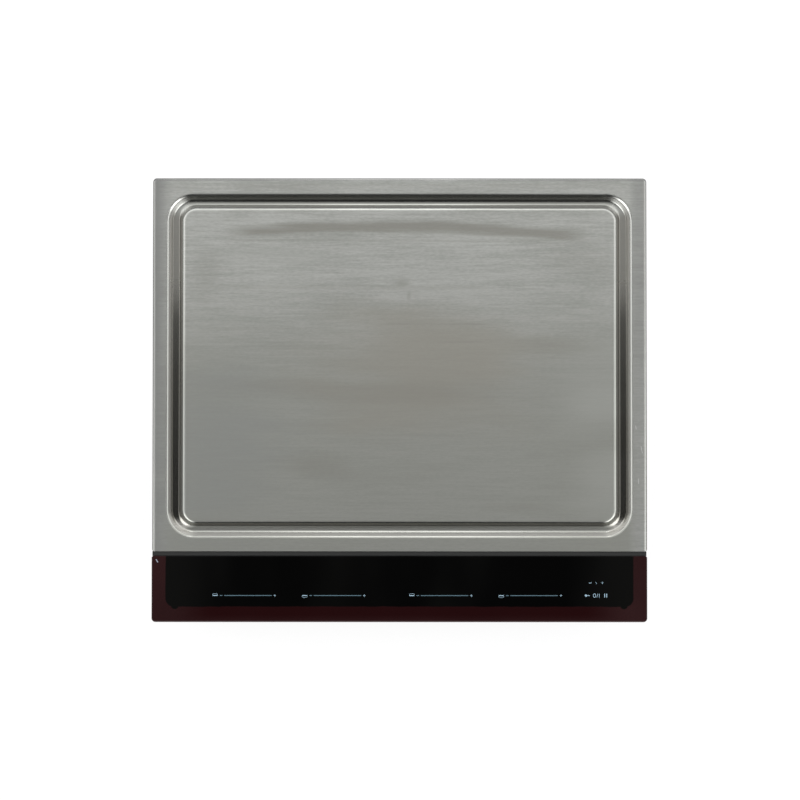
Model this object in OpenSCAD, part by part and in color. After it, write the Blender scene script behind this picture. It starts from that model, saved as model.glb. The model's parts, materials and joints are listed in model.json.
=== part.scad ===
// Built-in induction griddle cooktop: a steel griddle plate and a glass touch panel on a sheet
// steel frame, with four induction coils, two cooled power boards and a terminal box below.
// The origin is the middle of the worktop seat: z = 0 is the worktop's upper face, +Y points to
// the rear, and the touch panel is at the front.

/* [Overall] */
// Width over the control glass, the widest piece
body_w = 580.6; // [575:0.1:620]
// Depth from the rear edge of the plate to the front edge of the glass
body_d = 520; // [516:1:560]
// Radius of the outer corners seen from above
corner_r = 4.6; // [3.5:0.1:8]
// Radius of the inner corners, where plate and glass meet the divider
inner_corner_r = 2.4; // [2.2:0.1:3]
// Depth of the housing below the worktop surface
housing_depth = 66; // [66:1:80]

/* [Griddle plate] */
// Thickness of the griddle steel
sheet_t = 1.5; // [1.2:0.1:1.8]
// How far the steel stays inside the glass on each side
plate_inset = 0.4; // [0:0.1:1]
// Outer radius of the folded edge
bend_r = 2; // [1.9:0.1:2.2]
// Gap between the frame's collar and the groove's shoulder, left and right
groove_side_gap = 1.7; // [1:0.1:8]
// Gap between the frame's collar and the groove's shoulder at the rear
groove_rear_gap = 0.8; // [0.5:0.1:7]
// Flat rim in front of the groove
rim_front = 16.4; // [15:0.1:24]
// Width of the grease groove, shoulder to shoulder
groove_w = 19.6; // [18:0.1:24]
// Depth of the grease groove
groove_depth = 6; // [4.5:0.1:7]
// Corner radius of the groove's outer shoulder
groove_corner_r = 30.5; // [26:0.5:45]
// Radius of the groove's shoulders
shoulder_r = 2.8; // [2.2:0.1:3.2]
// Radius at the foot of the groove's walls
foot_r = 3.6; // [2:0.1:4]
// Slope of the groove's walls from the horizontal
wall_angle = 62; // [58:1:74]

/* [Control glass] */
// Depth of the glass panel, front to back
glass_d = 77.3; // [70:0.1:90]
// Thickness of the glass
glass_t = 4; // [4:0.5:5]
// Ground chamfer round the glass
glass_chamfer = 0.6; // [0.3:0.1:1]
// Width of the divider trim between plate and glass
trim_w = 5.3; // [4:0.1:8]
// How far the trim stays below the plate
trim_drop = 0.5; // [0.2:0.1:1.5]
// Ledge of the divider under plate and glass
ledge_w = 11; // [10.5:0.5:13]

/* [Frame and worktop seat] */
// Seat on the worktop beside the cut-out, left and right
seat_side = 10.3; // [9.3:0.5:12.3]
// Seat on the worktop before and behind the cut-out
seat_end = 15; // [14:0.5:17]
// Middle of the cut-out behind the middle of the cooktop
cutout_shift = 2; // [0:0.5:3]
// Gap between collar and cut-out, left and right
side_gap = 5; // [4:0.5:7]
// Gap between collar and cut-out, front and rear
end_gap = 3; // [2:0.5:4]
// Thickness of the frame steel
frame_t = 1; // [0.8:0.1:1.2]
// Height of the collar below the flange
collar_h = 13.5; // [13:0.5:16]
// Width of the lip that carries the shelf and the tray
lip_w = 14; // [13:0.5:16]
// Thickness of the compressed worktop gasket
gasket_t = 1.5; // [1:0.1:2.5]
// Width of the worktop gasket
gasket_w = 8; // [5:0.5:9]
// Thickness of the silicone under the glass
bond_t = 0.5; // [0.3:0.1:1]
// Width of the silicone beads
bead_w = 9; // [6:0.5:9.5]

/* [Coils] */
// Gap between coils, front to rear
coil_gap = 8; // [4:1:9]
// Gap between the coils and the front and rear edges of the flat field
coil_end_gap = 6; // [6:0.5:12]
// Distance from the middle of a coil to the left or right edge of the flat field
coil_side = 127.5; // [126:0.5:136]
// Turns in each winding
coil_turns = 14; // [10:1:16]
// Thickness of the fibre mat under the plate
mat_t = 4; // [3.5:0.1:4.2]
// Thickness of the mica sheet under the mat
mica_t = 0.8; // [0.5:0.1:1]
// Height of a coil carrier
carrier_h = 7.7; // [7:0.1:8]
// Gap between a ferrite bar and the rim of its coil carrier
ferrite_gap = 8; // [6:1:14]
// Width of a ferrite bar
ferrite_w = 13; // [10:0.5:14]
// Thickness of a ferrite bar
ferrite_t = 4.5; // [4:0.1:5]
// Sheet thickness of the shelf under the coils
shelf_t = 1.2; // [1:0.1:1.5]
// Depth of the pan pressed into the shelf
pan_depth = 8.2; // [8:0.1:9]

/* [Housing tray] */
// Sheet thickness of the bottom tray
tray_t = 0.8; // [0.7:0.1:1.2]
// Corner radius of the bottom tray
tray_r = 7; // [4:0.5:10]
// Width of a cooling slot
slot_w = 3; // [2:0.5:3.5]
// Distance between cooling slots
slot_pitch = 7; // [6:0.5:9]

/* [Power bays] */
// Gap between a power board and the side of the tray
bay_gap = 26; // [24:1:29]
// Length of a power board, front to back
board_l = 180; // [170:1:182]
// Width of a power board
board_w = 200; // [190:1:206]
// Thickness of the circuit boards
pcb_t = 1.6; // [1.2:0.1:2]
// Height of the board posts
post_h = 7; // [5:0.5:7.5]
// Width of a heat sink
sink_w = 86; // [70:1:90]
// Length of a heat sink
sink_l = 130; // [100:1:140]
// Height of the heat sink fins
fin_h = 23; // [15:0.5:23]
// Thickness of a fin
fin_t = 1.6; // [1:0.1:2]
// Number of fins
fin_count = 12; // [8:1:14]
// Outer size of a fan frame
fan_size = 92; // [80:1:92]
// Gap between a fan and the rear wall of the tray
fan_rear_gap = 48; // [46:1:52]
// Gap between a fan and its power board
fan_board_gap = 10; // [8:1:12]
// Height of a fan frame
fan_h = 25; // [25:1:28]
// Blades on each fan
blade_count = 7; // [5:1:9]
// Running clearance of shafts and pins
run_gap = 0.05; // [0.02:0.01:0.1]

/* [Hold-down clamps] */
// Distance between front and rear clamps
clamp_span = 300; // [260:1:310]
// Reach of a clamp arm from pivot to pressure screw
arm_reach = 26; // [24:1:30]
// Thickness of a clamp arm
arm_t = 2; // [1.5:0.1:2.5]
// Thickest worktop that the pressure screws reach under
worktop_max = 38; // [34:0.5:40]
// Travel of the pressure screw
clamp_travel = 8; // [4:0.5:8]

/* [Terminal box] */
// Width of the terminal box
box_w = 64; // [60:1:66]
// Depth of the terminal box
box_d = 44; // [42:1:46]
// Height of the terminal box
box_h = 26; // [25:1:28]
// Wall of the terminal box
box_t = 2; // [1.5:0.1:2.2]
// Inner radius of the cable inlet
inlet_r = 7; // [6:0.1:7.5]
// Length of the cable inlet
inlet_l = 10; // [8:0.5:12]

/* [Hidden] */
$fn = 64;
arc_steps = 6;
cut = 1;
fit_gap = 0.3;
ferrite_count = 8;

// Levels, from the worktop surface up
seat_z = gasket_t + frame_t;
glass_z = seat_z + bond_t;
top_z = glass_z + glass_t;
plate_under_z = top_z - sheet_t;

// Plan of plate, divider and glass
half_d = body_d / 2;
plate_w = body_w - 2 * plate_inset;
plate_front_y = -half_d + glass_d + trim_w;
plate_d = half_d - plate_front_y;
plate_y = (half_d + plate_front_y) / 2;
glass_y = -half_d + glass_d / 2;
trim_y = -half_d + glass_d + trim_w / 2;
cutout_w = body_w - 2 * seat_side;
cutout_d = body_d - 2 * seat_end;
collar_w = cutout_w - 2 * side_gap;
collar_d = cutout_d - 2 * end_gap;
groove_rear_y = cutout_shift + collar_d / 2 - frame_t - groove_rear_gap;
groove_front_y = plate_front_y + rim_front;
groove_out_w = collar_w - 2 * frame_t - 2 * groove_side_gap;
groove_out_d = groove_rear_y - groove_front_y;
groove_y = (groove_rear_y + groove_front_y) / 2;
plateau_w = groove_out_w - 2 * groove_w;
plateau_d = groove_out_d - 2 * groove_w;
plateau_r = groove_corner_r - groove_w;

// Frame
flange_inset = 0.5;
flange_w = body_w - 2 * flange_inset;
flange_d = body_d - 2 * flange_inset;
collar_r = 10;
lip_z = gasket_t - collar_h;
lip_top_z = lip_z + frame_t;

// Coil stack, from the plate down
mat_z = plate_under_z - mat_t;
mica_z = mat_z - mica_t;
carrier_z = mica_z - carrier_h;
carrier_base_t = 3;
coil_r = (plateau_d - coil_gap - 2 * coil_end_gap) / 4;
hub_r = 22;
ferrite_place_r = hub_r + 8;
ferrite_l = coil_r - ferrite_gap - ferrite_place_r;
spring_r = 4;
spring_place_r = coil_r - 12;
sensor_r = 5;
shelf_w = collar_w - 2 * frame_t - 2 * fit_gap;
shelf_d = collar_d - 2 * frame_t - 2 * fit_gap;
shelf_z = lip_top_z;
pan_floor_z = shelf_z - pan_depth;
pan_top_z = pan_floor_z + shelf_t;
coil_x = plateau_w / 2 - coil_side;
coil_y = coil_r + coil_gap / 2;
COILS = [[-coil_x, coil_y], [coil_x, coil_y], [-coil_x, -coil_y], [coil_x, -coil_y]];
lead_r = 1.7;
lead_hole_r = lead_r + 0.5;
lead_place_r = 52;
pan_margin = 12;
pan_w = 2 * (coil_x + coil_r + pan_margin);
pan_d = 2 * (coil_y + coil_r) + pan_margin;

// Tray
tray_flange_w = shelf_w;
tray_flange_d = shelf_d;
tray_w = collar_w - 2 * frame_t - 2 * lip_w + 2;
tray_d = collar_d - 2 * frame_t - 2 * lip_w + 2;
tray_z = -housing_depth;
floor_z = tray_z + tray_t;
tray_top_z = lip_z;
tray_screw_x = collar_w / 2 - frame_t - lip_w / 2;
tray_screw_y = collar_d / 2 - frame_t - lip_w / 2;
tray_rear_y = cutout_shift + tray_d / 2;

// Power bays
bay_x = tray_w / 2 - bay_gap - board_w / 2;
board_z = floor_z + post_h;
board_top_z = board_z + pcb_t;
filter_w = 100;
filter_l = 96;
filter_y = tray_rear_y - tray_t - 6 - filter_l / 2;
chip_h = 5;
sink_base_t = 5;
sink_z = board_top_z + chip_h;
fan_y = tray_rear_y - fan_rear_gap - fan_size / 2;
board_y = fan_y - fan_size / 2 - fan_board_gap - board_l / 2;
fan_hub_r = 18;
fan_tip_gap = 1.5;
fan_bore_r = fan_size / 2 - 3;
shaft_r = 1.5;
fan_spoke_t = 2;
guide_t = 1.4;
guide_top_z = pan_floor_z - fit_gap;
guide_gap = 3;
m3_r = 1.3;
m4_r = 1.8;
m4_play = 0.1;
supply_r = 1.5;

// Touch controls
key_row_y = -half_d + 31.2;
timer_row_y = -half_d + 46;
slider_l = 58;
SLIDERS = body_w * [-0.3014, -0.124, 0.0921, 0.2721];
touch_left_x = -collar_w / 2 + 45;
touch_right_x = collar_w / 2 - 19;
KEYS = [
  [touch_right_x - 38.5, key_row_y], [touch_right_x - 25.5, key_row_y], [touch_right_x - 14, key_row_y],
  [touch_right_x - 33, timer_row_y], [touch_right_x - 16, timer_row_y]
];
touch_rear_y = timer_row_y + 11;
carrier_front_y = cutout_shift - collar_d / 2 + frame_t + fit_gap + 0.4;
carrier_rear_y = touch_rear_y + 6;
carrier_wall = 1.5;
control_base_z = shelf_z + shelf_t;
touch_z = control_base_z + 5.8;
touch_top_z = touch_z + pcb_t;
mask_t = 0.3;
mask_z = glass_z - mask_t;
ribbon_x = -100;
ribbon_w = 16;
ribbon_t = 1;
ribbon_drop_y = carrier_rear_y + 8;

// Clamps
pivot_x = tray_w / 2 + 1.5 + 5.5;
pivot_r = 2;
arm_half = 4.8;
ear_z = tray_z + 13;
ear_t = 1.5;
arm_z = ear_z + ear_t + 0.3;
boss_h = 5;
screw_r = 2.4;
screw_tip_h = 3;
screw_tip_z = -worktop_max - screw_tip_h;
screw_head_h = 3;
screw_head_z = arm_z - clamp_travel - 0.3 - screw_head_h;
CLAMPS = [[-1, 1], [1, 1], [-1, -1], [1, -1]];

// Terminal box
box_x = tray_w / 2 - tray_r - box_w / 2 - 0.5;
box_rear_y = tray_rear_y - tray_t;
box_y = box_rear_y - box_d / 2;
box_top_z = floor_z + box_h;
lid_t = 2;
lid_gap = 0.5;
lid_z = tray_z + 0.4;
lid_pin_r = 1.5;
lid_tail = 2;
lid_pin_y = box_rear_y - box_t - 4.4;
lid_pin_z = lid_z + lid_t + 1.6;
inlet_z = floor_z + box_h - 11;
inlet_t = 2;

// Profile of the groove measured from the plate's top face, lowered by the sheet for its underside
groove_half = groove_w / 2;
wall_l = (groove_depth - (shoulder_r + foot_r) * (1 - cos(wall_angle))) / sin(wall_angle);
wall_foot = [
  groove_half - shoulder_r * sin(wall_angle) - wall_l * cos(wall_angle),
  -shoulder_r * (1 - cos(wall_angle)) - wall_l * sin(wall_angle)
];
foot_centre = wall_foot + foot_r * [-sin(wall_angle), cos(wall_angle)];

function half_groove(drop) = concat(
  [for (i = [0:arc_steps]) let (a = wall_angle * i / arc_steps)
    [groove_half - (shoulder_r - drop) * sin(a), -shoulder_r + (shoulder_r - drop) * cos(a)]],
  [for (i = [0:arc_steps]) let (a = wall_angle * (1 - i / arc_steps))
    foot_centre + (foot_r + drop) * [sin(a), -cos(a)]]
);

function reversed(points) = [for (i = [len(points) - 1:-1:0]) points[i]];

function mirrored(points) = [for (p = points) [-p[0], p[1]]];

function groove_line(drop) = concat(half_groove(drop), reversed(mirrored(half_groove(drop))));

// One half of a slab with two rounded corners, from y = 0 to y = l
module half_slab(w, l, h, r) {
  translate([-w / 2, 0, 0]) cube([w, l - r, h]);
  translate([-w / 2 + r, l - r, 0]) cube([w - 2 * r, r, h]);
  for (side = [0, 1]) mirror([side, 0, 0])
    translate([w / 2 - r, l - r, 0]) rotate_extrude(angle = 90) square([r, h]);
}

// A slab with its own radius at the rear and at the front corners
module slab(w, d, h, rear_r, front_r) {
  half_slab(w, d / 2, h, rear_r);
  mirror([0, 1, 0]) half_slab(w, d / 2, h, front_r);
}

// One half of a profile swept round a rounded rectangle: x is outward from the edge, y is up
module half_sweep(w, l, r) {
  for (side = [0, 1]) mirror([side, 0, 0]) {
    translate([w / 2, l - r, 0]) rotate([90, 0, 0]) linear_extrude(l - r) children();
    translate([w / 2 - r, l - r, 0]) rotate_extrude(angle = 90) translate([r, 0]) children();
  }
  translate([0, l, 0]) rotate([90, 0, 90]) linear_extrude(w - 2 * r, center = true) children();
}

module edge_sweep(w, d, rear_r, front_r) {
  half_sweep(w, d / 2, rear_r) children();
  mirror([0, 1, 0]) half_sweep(w, d / 2, front_r) children();
}

// A flat ring of even width with rounded corners
module ring(w, d, h, width, rear_r, front_r) {
  difference() {
    slab(w, d, h, rear_r, front_r);
    translate([0, 0, -cut])
      slab(w - 2 * width, d - 2 * width, h + 2 * cut, max(rear_r - width, 0.5), max(front_r - width, 0.5));
  }
}

module tube(h, outer_r, inner_r) {
  difference() {
    cylinder(h = h, r = outer_r);
    translate([0, 0, -cut]) cylinder(h = h + 2 * cut, r = inner_r);
  }
}

module box_at(low, high) {
  translate(low) cube(high - low);
}

// A round lead that rises from a, runs level at z, and falls to b, with rounded bends
module lead(a, b, z, r, bend) {
  run = norm([b[0] - a[0], b[1] - a[1]]);
  up = z > a[2] ? 1 : -1;
  translate([a[0], a[1], 0]) rotate([0, 0, atan2(b[1] - a[1], b[0] - a[0])]) {
    translate([0, 0, min(a[2], z - up * bend)]) cylinder(h = abs(z - up * bend - a[2]), r = r);
    translate([bend, 0, z - up * bend]) rotate([90, 0, 0])
      rotate([0, 0, up > 0 ? 90 : 180]) rotate_extrude(angle = 90) translate([bend, 0]) circle(r);
    translate([bend, 0, z]) rotate([0, 90, 0]) cylinder(h = run - 2 * bend, r = r);
    translate([run - bend, 0, z - bend]) rotate([90, 0, 0])
      rotate_extrude(angle = 90) translate([bend, 0]) circle(r);
    translate([run, 0, b[2]]) cylinder(h = z - bend - b[2], r = r);
  }
}

// Plate, divider and glass

module griddle_plate() {
  color([0.60, 0.60, 0.57]) {
    translate([0, plate_y, top_z - sheet_t]) difference() {
      slab(plate_w - 2 * bend_r, plate_d - 2 * bend_r, sheet_t, corner_r - bend_r, inner_corner_r - bend_r);
      translate([0, groove_y - plate_y, -cut])
        slab(groove_out_w, groove_out_d, sheet_t + 2 * cut, groove_corner_r, groove_corner_r);
    }
    translate([0, groove_y, top_z - sheet_t]) slab(plateau_w, plateau_d, sheet_t, plateau_r, plateau_r);
    translate([0, groove_y, top_z])
      edge_sweep(
        groove_out_w - groove_w, groove_out_d - groove_w,
        groove_corner_r - groove_half, groove_corner_r - groove_half
      ) polygon(concat(groove_line(0), reversed(groove_line(sheet_t))));
    translate([0, plate_y, top_z])
      edge_sweep(plate_w, plate_d, corner_r, inner_corner_r) polygon(concat(
        [for (i = [0:arc_steps]) let (a = 90 * i / arc_steps) bend_r * [sin(a) - 1, cos(a) - 1]],
        [[0, seat_z - top_z], [-sheet_t, seat_z - top_z]],
        [for (i = [arc_steps:-1:0]) let (a = 90 * i / arc_steps)
          [-bend_r, -bend_r] + (bend_r - sheet_t) * [sin(a), cos(a)]]
      ));
  }
}

module plate_sealant() {
  color([0.12, 0.12, 0.12]) translate([0, plate_y, seat_z])
    ring(
      plate_w - 2 * bend_r, plate_d - 2 * bend_r, plate_under_z - seat_z, bead_w - bend_r,
      corner_r - bend_r, inner_corner_r - bend_r
    );
}

module divider_trim() {
  rib_w = trim_w - 0.2;
  rib_h = top_z - trim_drop - seat_z;
  rib_chamfer = 0.5;
  color([0.17, 0.17, 0.16]) {
    translate([0, trim_y, seat_z]) rotate([90, 0, 90]) linear_extrude(plate_w - 1, center = true) polygon([
      [-rib_w / 2, 0], [rib_w / 2, 0], [rib_w / 2, rib_h - rib_chamfer], [rib_w / 2 - rib_chamfer, rib_h],
      [-rib_w / 2 + rib_chamfer, rib_h], [-rib_w / 2, rib_h - rib_chamfer]
    ]);
    box_at(
      [-collar_w / 2 + frame_t + fit_gap, trim_y - trim_w / 2 - ledge_w, gasket_t],
      [collar_w / 2 - frame_t - fit_gap, trim_y + trim_w / 2 + ledge_w, seat_z]
    );
  }
}

module control_glass() {
  edge = glass_chamfer + 0.4;
  color([0.07, 0.02, 0.02]) translate([0, glass_y, glass_z]) {
    slab(body_w - 2 * edge, glass_d - 2 * edge, glass_t, inner_corner_r - edge, corner_r - edge);
    edge_sweep(body_w, glass_d, inner_corner_r, corner_r) polygon([
      [-edge, 0], [0, 0], [0, glass_t - glass_chamfer], [-glass_chamfer, glass_t], [-edge, glass_t]
    ]);
  }
}

module glass_sealant() {
  bead_inset = 1;
  color([0.10, 0.09, 0.09]) translate([0, glass_y, seat_z])
    ring(
      body_w - 2 * bead_inset, glass_d - 2 * bead_inset, bond_t, bead_w,
      inner_corner_r - bead_inset, corner_r - bead_inset
    );
}

module glass_mask() {
  mask_rear_y = trim_y - trim_w / 2 - bead_w - 2;
  color([0.02, 0.02, 0.02]) box_at(
    [-collar_w / 2 + frame_t + fit_gap, carrier_front_y - 0.8, mask_z],
    [collar_w / 2 - frame_t - fit_gap, mask_rear_y, glass_z]
  );
}

// Frame and worktop seat

module tray_screw_places() {
  for (side = [-1, 1]) {
    for (y = [-2:2]) translate([side * tray_screw_x, cutout_shift + y * tray_screw_y * 0.42, 0]) children();
    for (x = [-1:1]) translate([x * tray_screw_x * 0.72, cutout_shift + side * tray_screw_y, 0]) children();
  }
}

module carrier_frame() {
  inner_w = collar_w - 2 * frame_t;
  inner_d = collar_d - 2 * frame_t;
  color([0.62, 0.63, 0.64]) difference() {
    union() {
      translate([0, 0, gasket_t]) slab(flange_w, flange_d, frame_t, corner_r, corner_r);
      translate([0, cutout_shift, lip_z]) slab(collar_w, collar_d, collar_h, collar_r, collar_r);
    }
    translate([0, cutout_shift, lip_top_z])
      slab(inner_w, inner_d, collar_h + cut, collar_r - frame_t, collar_r - frame_t);
    translate([0, cutout_shift, lip_z - cut])
      slab(inner_w - 2 * lip_w, inner_d - 2 * lip_w, 3 * cut + frame_t, collar_r, collar_r);
    translate([0, 0, lip_z - cut]) tray_screw_places() cylinder(h = frame_t + 2 * cut, r = m4_r + run_gap);
  }
}

module worktop_gasket() {
  gasket_inset = 1.3;
  color([0.05, 0.05, 0.05])
    ring(
      body_w - 2 * gasket_inset, body_d - 2 * gasket_inset, gasket_t, gasket_w,
      corner_r - gasket_inset, corner_r - gasket_inset
    );
}

// Coils

module insulation_sheet(z, t) {
  sheet_gap = 1.5;
  translate([0, groove_y, z]) difference() {
    slab(
      plateau_w - 2 * sheet_gap, plateau_d - 2 * sheet_gap, t,
      plateau_r - sheet_gap, plateau_r - sheet_gap
    );
    for (p = COILS) translate([p[0], p[1], -cut]) cylinder(h = t + 2 * cut, r = sensor_r + 1);
  }
}

module insulation_mat() {
  color([0.90, 0.89, 0.84]) insulation_sheet(mat_z, mat_t);
}

module mica_sheet() {
  color([0.72, 0.66, 0.50]) insulation_sheet(mica_z, mica_t);
}

module at_coil(n) {
  translate([COILS[n - 1][0], groove_y + COILS[n - 1][1], 0]) children();
}

// The two places where a coil's leads pass down, between the ferrite bars that face the middle
function lead_place(n, k) = let (p = COILS[n - 1])
  [p[0] - sign(p[0]) * (lead_place_r + 9 * k), groove_y + p[1] + (k - 0.5) * 10];

module coil_carrier(n) {
  rim_t = 2;
  color([0.16, 0.16, 0.17]) difference() {
    at_coil(n) translate([0, 0, carrier_z]) {
      tube(carrier_base_t, coil_r, sensor_r + run_gap * 2);
      translate([0, 0, carrier_base_t]) tube(carrier_h - carrier_base_t, coil_r, coil_r - rim_t);
      translate([0, 0, carrier_base_t]) tube(carrier_h - carrier_base_t, hub_r, hub_r - rim_t);
    }
    for (k = [0, 1]) translate([lead_place(n, k)[0], lead_place(n, k)[1], carrier_z - cut])
      cylinder(h = carrier_base_t + 2 * cut, r = lead_hole_r);
  }
}

module coil_winding(n) {
  inner = hub_r + fit_gap;
  outer = coil_r - 2 - fit_gap;
  pitch = (outer - inner) / coil_turns;
  h = carrier_h - carrier_base_t - fit_gap;
  valley = 1;
  ridges = [for (i = [coil_turns - 1:-1:0]) each [
    [inner + (i + 1) * pitch, h - valley], [inner + (i + 0.75) * pitch, h],
    [inner + (i + 0.25) * pitch, h], [inner + i * pitch, h - valley]
  ]];
  color([0.62, 0.33, 0.14]) at_coil(n) translate([0, 0, carrier_z + carrier_base_t])
    rotate_extrude() polygon(concat([[inner, 0], [outer, 0]], ridges));
}

module ferrite_bars() {
  color([0.20, 0.20, 0.21]) for (n = [1:4]) at_coil(n) translate([0, 0, carrier_z - ferrite_t])
    for (k = [0:ferrite_count - 1]) rotate([0, 0, (k + 0.5) * 360 / ferrite_count])
      translate([ferrite_place_r, -ferrite_w / 2, 0]) cube([ferrite_l, ferrite_w, ferrite_t]);
}

module temperature_sensors() {
  color([0.78, 0.78, 0.76]) for (n = [1:4]) at_coil(n) {
    translate([0, 0, carrier_z]) cylinder(h = plate_under_z - carrier_z, r = sensor_r);
    translate([0, 0, carrier_z - 3]) cylinder(h = 3, r = sensor_r + 4);
  }
}

// Each turn is two half rings, tilted opposite ways and joined end to end
module coil_spring(h, r, wire_r, turns) {
  pitch = (h - 2 * wire_r) / turns;
  tilt = atan2(pitch / 2, 2 * r);
  ring_r = norm([r, pitch / 4]);
  for (i = [0:turns - 1]) translate([0, 0, wire_r + pitch * (i + 0.25)]) {
    rotate([0, tilt, 0]) rotate_extrude(angle = 180) translate([ring_r, 0]) circle(wire_r);
    translate([0, 0, pitch / 2]) rotate([0, -tilt, 0]) rotate([0, 0, 180])
      rotate_extrude(angle = 180) translate([ring_r, 0]) circle(wire_r);
  }
}

module coil_springs() {
  h = carrier_z - pan_top_z;
  color([0.70, 0.70, 0.72]) for (n = [1:4]) at_coil(n) for (k = [0:3])
    rotate([0, 0, 90 * k]) translate([spring_place_r, 0, pan_top_z]) coil_spring(h, spring_r, 0.5, 4);
}

module coil_shelf() {
  pan_r = 12;
  color([0.78, 0.79, 0.80]) difference() {
    union() {
      translate([0, cutout_shift, shelf_z]) slab(shelf_w, shelf_d, shelf_t, collar_r, collar_r);
      translate([0, groove_y, pan_floor_z]) slab(pan_w, pan_d, pan_depth, pan_r, pan_r);
    }
    translate([0, groove_y, pan_top_z])
      slab(pan_w - 2 * shelf_t, pan_d - 2 * shelf_t, pan_depth + cut, pan_r - shelf_t, pan_r - shelf_t);
    for (n = [1:4]) {
      at_coil(n) translate([0, 0, pan_floor_z - cut]) cylinder(h = shelf_t + 2 * cut, r = 14);
      for (k = [0, 1]) translate([lead_place(n, k)[0], lead_place(n, k)[1], pan_floor_z - cut])
        cylinder(h = shelf_t + 2 * cut, r = lead_hole_r + 1);
    }
    translate([ribbon_x - ribbon_w / 2 - 2, ribbon_drop_y - 2, shelf_z - cut])
      cube([ribbon_w + 4, ribbon_t + 4, shelf_t + 2 * cut]);
  }
}

// The leads end in a row on the board, inboard of the heat sink
function lead_end(n, k) = let (p = COILS[n - 1])
  [sign(p[0]) * (bay_x - sink_w / 2 - 12 - k * 14), board_y - 10 + 55 * sign(p[1]), board_top_z];

module coil_leads() {
  color([0.85, 0.83, 0.78]) for (n = [1:4]) for (k = [0, 1]) {
    start = concat(lead_place(n, k), [carrier_z + carrier_base_t]);
    lead(start, lead_end(n, k), pan_floor_z - 5, lead_r, 3.4);
  }
}

// Housing tray

module fan_slots() {
  for (side = [-1, 1]) for (i = [-5:5]) {
    reach = fan_bore_r - 4;
    half = sqrt(max(reach * reach - pow(i * slot_pitch, 2), 9));
    translate([side * bay_x + i * slot_pitch - slot_w / 2, fan_y - half, tray_z - cut])
      cube([slot_w, 2 * half, tray_t + 2 * cut]);
  }
}

module exhaust_slots() {
  front_y = cutout_shift - tray_d / 2;
  for (i = [-14:14]) translate([i * 2 * slot_pitch - slot_w / 2, front_y - cut, tray_z + 12])
    cube([slot_w, tray_t + 2 * cut, 28]);
  for (i = [-14:14]) translate([i * 2 * slot_pitch - slot_w / 2, front_y + 16, tray_z - cut])
    cube([slot_w, 30, tray_t + 2 * cut]);
}

module post_places() {
  for (side = [-1, 1]) for (x = [-1, 1]) for (y = [-1, 1])
    translate([side * bay_x + x * (board_w / 2 - 6), board_y + y * (board_l / 2 - 6), 0]) children();
}

module filter_post_places() {
  for (x = [-1, 1]) for (y = [-1, 1])
    translate([x * (filter_w / 2 - 5), filter_y + y * (filter_l / 2 - 5), 0]) children();
}

module bottom_tray() {
  color([0.66, 0.67, 0.68]) difference() {
    union() {
      translate([0, cutout_shift, tray_top_z - tray_t])
        ring(tray_flange_w, tray_flange_d, tray_t, (tray_flange_w - tray_w) / 2 + 1, collar_r, collar_r);
      translate([0, cutout_shift, tray_z]) difference() {
        slab(tray_w, tray_d, tray_top_z - tray_z, tray_r, tray_r);
        translate([0, 0, tray_t]) slab(
          tray_w - 2 * tray_t, tray_d - 2 * tray_t, tray_top_z - tray_z, tray_r - tray_t, tray_r - tray_t
        );
      }
      translate([0, 0, floor_z]) post_places() cylinder(h = post_h, r = 3.5);
      translate([0, 0, floor_z]) filter_post_places() cylinder(h = post_h, r = 3.5);
    }
    translate([0, 0, floor_z + 1]) post_places() cylinder(h = post_h, r = m3_r + run_gap);
    translate([0, 0, floor_z + 1]) filter_post_places() cylinder(h = post_h, r = m3_r + run_gap);
    translate([0, 0, tray_top_z - tray_t - cut]) tray_screw_places()
      cylinder(h = tray_t + 2 * cut, r = m4_r + m4_play);
    fan_slots();
    exhaust_slots();
    box_at(
      [box_x - box_w / 2 + box_t, box_rear_y - box_d + box_t, tray_z - cut],
      [box_x + box_w / 2 - box_t, box_rear_y - box_t, floor_z + cut]
    );
    translate([box_x, tray_rear_y + cut, inlet_z]) rotate([90, 0, 0])
      cylinder(h = tray_t + 2 * cut, r = inlet_r + inlet_t + fit_gap);
  }
}

module tray_screws() {
  head_h = 2.2;
  color([0.75, 0.75, 0.76]) tray_screw_places() translate([0, 0, tray_top_z - tray_t]) {
    cylinder(h = tray_t + frame_t, r = m4_r);
    translate([0, 0, -head_h]) difference() {
      cylinder(h = head_h, r = 3.6);
      translate([0, 0, -cut]) cylinder(h = cut + 1.2, r = 1.3, $fn = 6);
    }
  }
}

// Power bays

module power_board(side) {
  color([0.10, 0.34, 0.20]) difference() {
    translate([side * bay_x - board_w / 2, board_y - board_l / 2, board_z]) cube([board_w, board_l, pcb_t]);
    translate([0, 0, board_z - cut]) post_places() cylinder(h = pcb_t + 2 * cut, r = m3_r + 0.3);
  }
}

module heat_sink(side) {
  step = (sink_w - fin_t) / (fin_count - 1);
  color([0.74, 0.75, 0.76]) translate([side * bay_x, board_y + sink_l / 2, sink_z]) rotate([90, 0, 0])
    linear_extrude(sink_l) {
      translate([-sink_w / 2, 0]) square([sink_w, sink_base_t]);
      for (i = [0:fin_count - 1]) translate([-sink_w / 2 + i * step, sink_base_t]) square([fin_t, fin_h]);
    }
}

module power_transistors() {
  color([0.08, 0.08, 0.08]) for (side = [-1, 1]) for (y = [-1.5:1:1.5])
    translate([side * bay_x - 30, board_y + y * 28 - 8, board_top_z]) cube([21, 16, chip_h]);
}

module bridge_rectifiers() {
  color([0.11, 0.11, 0.12]) for (side = [-1, 1])
    translate([side * bay_x + 10, board_y - 15, board_top_z]) cube([20, 30, chip_h]);
}

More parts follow.
